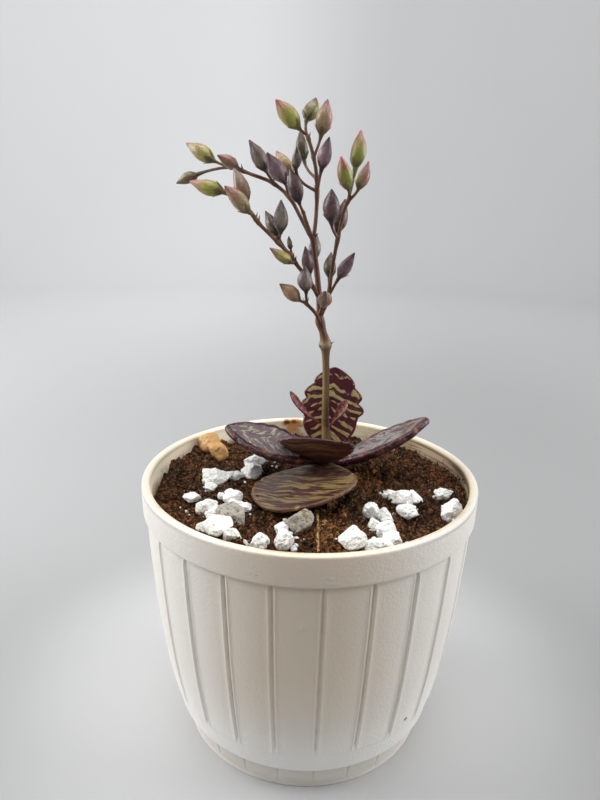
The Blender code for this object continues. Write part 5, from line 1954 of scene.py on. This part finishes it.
STEM = Stem(
    "stem",
    ((-1.1, 9.7, 158.2), (-2.6, 8.6, 162.0), (-4.0, 8.0, 166.0)),
    (Bud(1.00, (-5.5, 7.0, 169.5), (-8.0, 6.0, 178.0), 4.4, Hue.PLUM),),
)
SPRAYS = (
    Flowering(
        "spray_low_left",
        ((1.8, 9.0, 132.9), (0.6, 6.8, 136.0), (-2.5, 5.0, 139.5)),
        (
            Bud(1.00, (-5.0, 4.0, 141.0), (-10.5, 3.0, 145.5), 4.2, Hue.PEACH),
            Bud(0.97, (-2.6, 3.2, 144.0), (-3.0, 2.2, 151.0), 4.4, Hue.SMOKE),
        ),
    ),
    Flowering("spray_lower_left", (
        (0.9, 9.6, 141.2), (-1.0, 7.6, 145.0), (-5.0, 7.0, 150.0), (-8.0, 6.0, 154.0),
        (-12.5, 5.0, 158.5), (-16.5, 3.5, 162.5), (-18.5, 2.5, 165.0),
    ), (
        Bud(0.12, (-1.8, 5.8, 148.8), (-3.2, 5.2, 156.5), 3.5, Hue.PLUM),
        Bud(0.40, (-7.5, 3.8, 152.0), (-13.5, 2.0, 156.0), 3.2, Hue.PEPPER),
        Bud(0.42, (-7.6, 8.0, 155.5), (-8.2, 9.0, 159.0), 1.6, Hue.UMBER),
        Bud(0.62, (-10.5, 5.5, 161.0), (-10.5, 5.5, 169.5), 4.3, Hue.SMOKE),
        Bud(0.50, (-12.0, 10.0, 159.5), (-15.5, 12.0, 166.0), 3.8, Hue.UMBER),
        Bud(1.00, (-20.0, 1.0, 166.5), (-26.0, -1.5, 173.0), 4.6, Hue.ROSE),
        Bud(0.92, (-21.0, 6.5, 169.0), (-24.5, 8.0, 178.0), 4.6, Hue.BRONZE),
        Bud(0.86, (-29.0, 12.0, 171.5), (-38.5, 13.5, 174.0), 4.7, Hue.LIME),
    )),
    Flowering("spray_upper_left", (
        (-1.0, 10.4, 157.6), (-5.0, 13.0, 164.5), (-8.0, 14.0, 169.5), (-11.0, 15.0, 172.3),
        (-14.5, 15.5, 174.5), (-19.5, 16.0, 176.2), (-23.5, 17.0, 177.5), (-27.5, 17.5, 178.6),
    ), (
        Bud(0.33, (-10.2, 12.0, 175.0), (-15.0, 9.5, 182.5), 4.9, Hue.MAUVE),
        Bud(0.30, (-8.5, 20.0, 177.0), (-13.0, 22.5, 183.5), 4.7, Hue.PEPPER),
        Bud(0.52, (-16.0, 14.2, 178.2), (-20.5, 13.0, 186.0), 4.4, Hue.SMOKE),
        Bud(0.83, (-24.6, 14.6, 178.6), (-29.8, 11.5, 181.5), 3.6, Hue.ROSE),
        Bud(1.00, (-32.5, 18.5, 180.5), (-40.5, 20.5, 185.0), 4.7, Hue.PEPPER),
        Bud(0.97, (-38.0, 21.5, 175.8), (-44.5, 23.5, 173.2), 3.5, Hue.OLIVE),
    )),
    Flowering("spray_top", (
        (-0.8, 10.1, 157.6), (-0.2, 10.6, 165.0), (-0.1, 11.0, 172.0), (-0.6, 11.5, 178.0),
        (-2.0, 12.0, 183.5), (-3.4, 12.5, 187.5),
    ), (
        Bud(1.00, (-6.5, 11.0, 190.0), (-12.5, 8.0, 196.5), 5.3, Hue.LIME),
        Bud(0.95, (-3.6, 15.0, 192.3), (-1.2, 18.0, 198.3), 4.5, Hue.OLIVE),
        Bud(0.72, (0.8, 11.5, 188.5), (2.2, 11.0, 197.2), 4.8, Hue.ROSE),
        Bud(0.52, (-4.4, 17.0, 181.5), (-5.6, 19.0, 189.5), 3.6, Hue.UMBER),
        Bud(0.40, (-6.4, 6.5, 178.5), (-6.2, 4.0, 184.0), 2.9, Hue.SMOKE),
        Bud(0.36, (1.2, 9.6, 179.0), (3.0, 8.0, 187.0), 4.0, Hue.MAUVE),
    )),
    Flowering("spray_right", (
        (2.2, 9.8, 134.6), (4.2, 8.0, 141.5), (5.0, 7.5, 149.0), (6.0, 7.0, 156.0),
        (7.0, 6.0, 162.0), (8.0, 5.0, 167.0), (9.4, 4.5, 170.5),
    ), (
        Bud(0.14, (7.6, 6.0, 148.0), (11.5, 4.0, 155.0), 3.8, Hue.MAUVE),
        Bud(0.10, (4.6, 12.6, 147.0), (4.8, 14.5, 154.0), 3.9, Hue.UMBER),
        Bud(0.55, (6.6, 11.0, 161.0), (8.4, 12.5, 170.0), 4.1, Hue.PLUM),
        Bud(0.58, (4.2, 2.6, 164.5), (4.0, 1.0, 172.8), 5.0, Hue.PLUM),
        Bud(1.00, (8.6, 2.0, 173.5), (6.2, -1.0, 181.5), 4.3, Hue.FRESH),
        Bud(0.96, (11.9, 3.4, 173.5), (14.2, 3.2, 180.5), 3.4, Hue.ROSE),
        Bud(0.94, (10.9, 8.0, 179.5), (12.0, 8.6, 189.0), 4.5, Hue.FRESH),
    )),
    Flowering(
        "bud_front",
        ((1.8, 9.5, 135.4), (2.4, 7.0, 138.0)),
        (Bud(1.00, (2.9, 5.6, 139.3), (3.2, 0.4, 144.0), 4.3, Hue.BRONZE),),
    ),
    Flowering(
        "bud_rear",
        ((0.8, 10.3, 145.2), (0.2, 12.6, 148.5)),
        (Bud(1.00, (-0.4, 14.0, 152.5), (0.0, 16.0, 159.5), 3.8, Hue.SMOKE),),
    ),
)

HEAPS = {
    "grit_back_left": (
        Stone(-18.6, 18.0, 9.5, 7.0, 5.0, 20), Stone(-19.3, 6.5, 7.0, 6.0, 5.0),
        Stone(-30.2, 4.0, 10.2, 7.5, 5.2, 8), Stone(-24.6, 5.8, 7.4, 4.2, 3.2),
        Stone(-19.2, 11.6, 6.5, 8.0, 3.6), Stone(-31.4, -1.2, 4.2, 6.4, 3.0),
    ),
    "grit_left": (
        Stone(-30.4, -17.2, 6.6, 6.0, 5.0), Stone(-23.4, -11.2, 6.4, 5.6, 5.0, 10),
        Stone(-19.8, -15.6, 5.6, 4.6, 3.0, -20), Stone(-22.6, -22.4, 8.8, 8.8, 6.2, grey=1.3),
        Stone(-29.0, -28.0, 5.4, 5.0, 3.2), Stone(-25.4, -30.0, 8.8, 10.2, 5.2),
        Stone(-21.0, -32.8, 5.6, 5.0, 4.2), Stone(-27.4, -19.6, 6.2, 5.4, 4.0),
        Stone(-22.4, -16.0, 5.8, 7.6, 3.6),
    ),
    "grit_front": (
        Stone(-7.6, -28.8, 4.6, 4.4, 4.0), Stone(-2.6, -27.4, 8.4, 6.6, 6.0, 25, grey=1.5),
        Stone(-6.4, -36.6, 5.8, 6.4, 4.8), Stone(-6.2, -32.2, 4.2, 4.6, 3.0),
    ),
    "grit_right_rim": (
        Stone(12.4, -37.4, 8.4, 6.6, 5.2), Stone(21.8, -28.8, 5.8, 6.0, 5.0),
        Stone(18.8, -25.6, 3.6, 4.4, 3.4), Stone(19.0, -36.6, 8.4, 5.2, 3.6),
        Stone(23.2, -33.0, 5.8, 6.4, 3.4),
    ),
    "grit_splinters": (
        Stone(18.2, -18.2, 5.0, 5.0, 5.4), Stone(22.4, -20.6, 3.4, 8.2, 4.2, 25),
        Stone(20.4, -18.8, 3.4, 3.4, 2.6),
    ),
    "grit_right": (
        Stone(25.4, -6.0, 5.6, 5.4, 2.8, rust=0.25), Stone(28.2, -10.4, 8.4, 8.4, 5.6, rust=0.9),
        Stone(29.2, -16.6, 6.6, 7.2, 3.8), Stone(32.2, -7.6, 6.0, 5.8, 4.2),
    ),
    "grit_lone_left": (Stone(-36.4, -9.6, 6.2, 4.2, 3.2, -30),),
    "grit_lone_front": (Stone(-13.0, -36.8, 6.0, 5.4, 4.8),),
    "grit_lone_right": (Stone(42.2, -4.6, 6.2, 4.4, 3.2),),
    "grit_lone_rim": (Stone(42.8, -16.0, 8.0, 6.6, 5.8, 30),),
}


def main() -> None:
    """Builds the studio and every piece."""
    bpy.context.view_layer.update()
    Studio().build()
    pot = Pot()
    bed = SoilBed(pot)
    pot.build()
    bed.build()
    Grit(bed, HEAPS).build()
    OchreStone(bed, {}).build()
    for seed, leaf in enumerate(LEAVES):
        leaf.build(seed + 5)
    STEM.build()
    for spray in SPRAYS:
        spray.build()


if __name__ == "__main__":
    main()
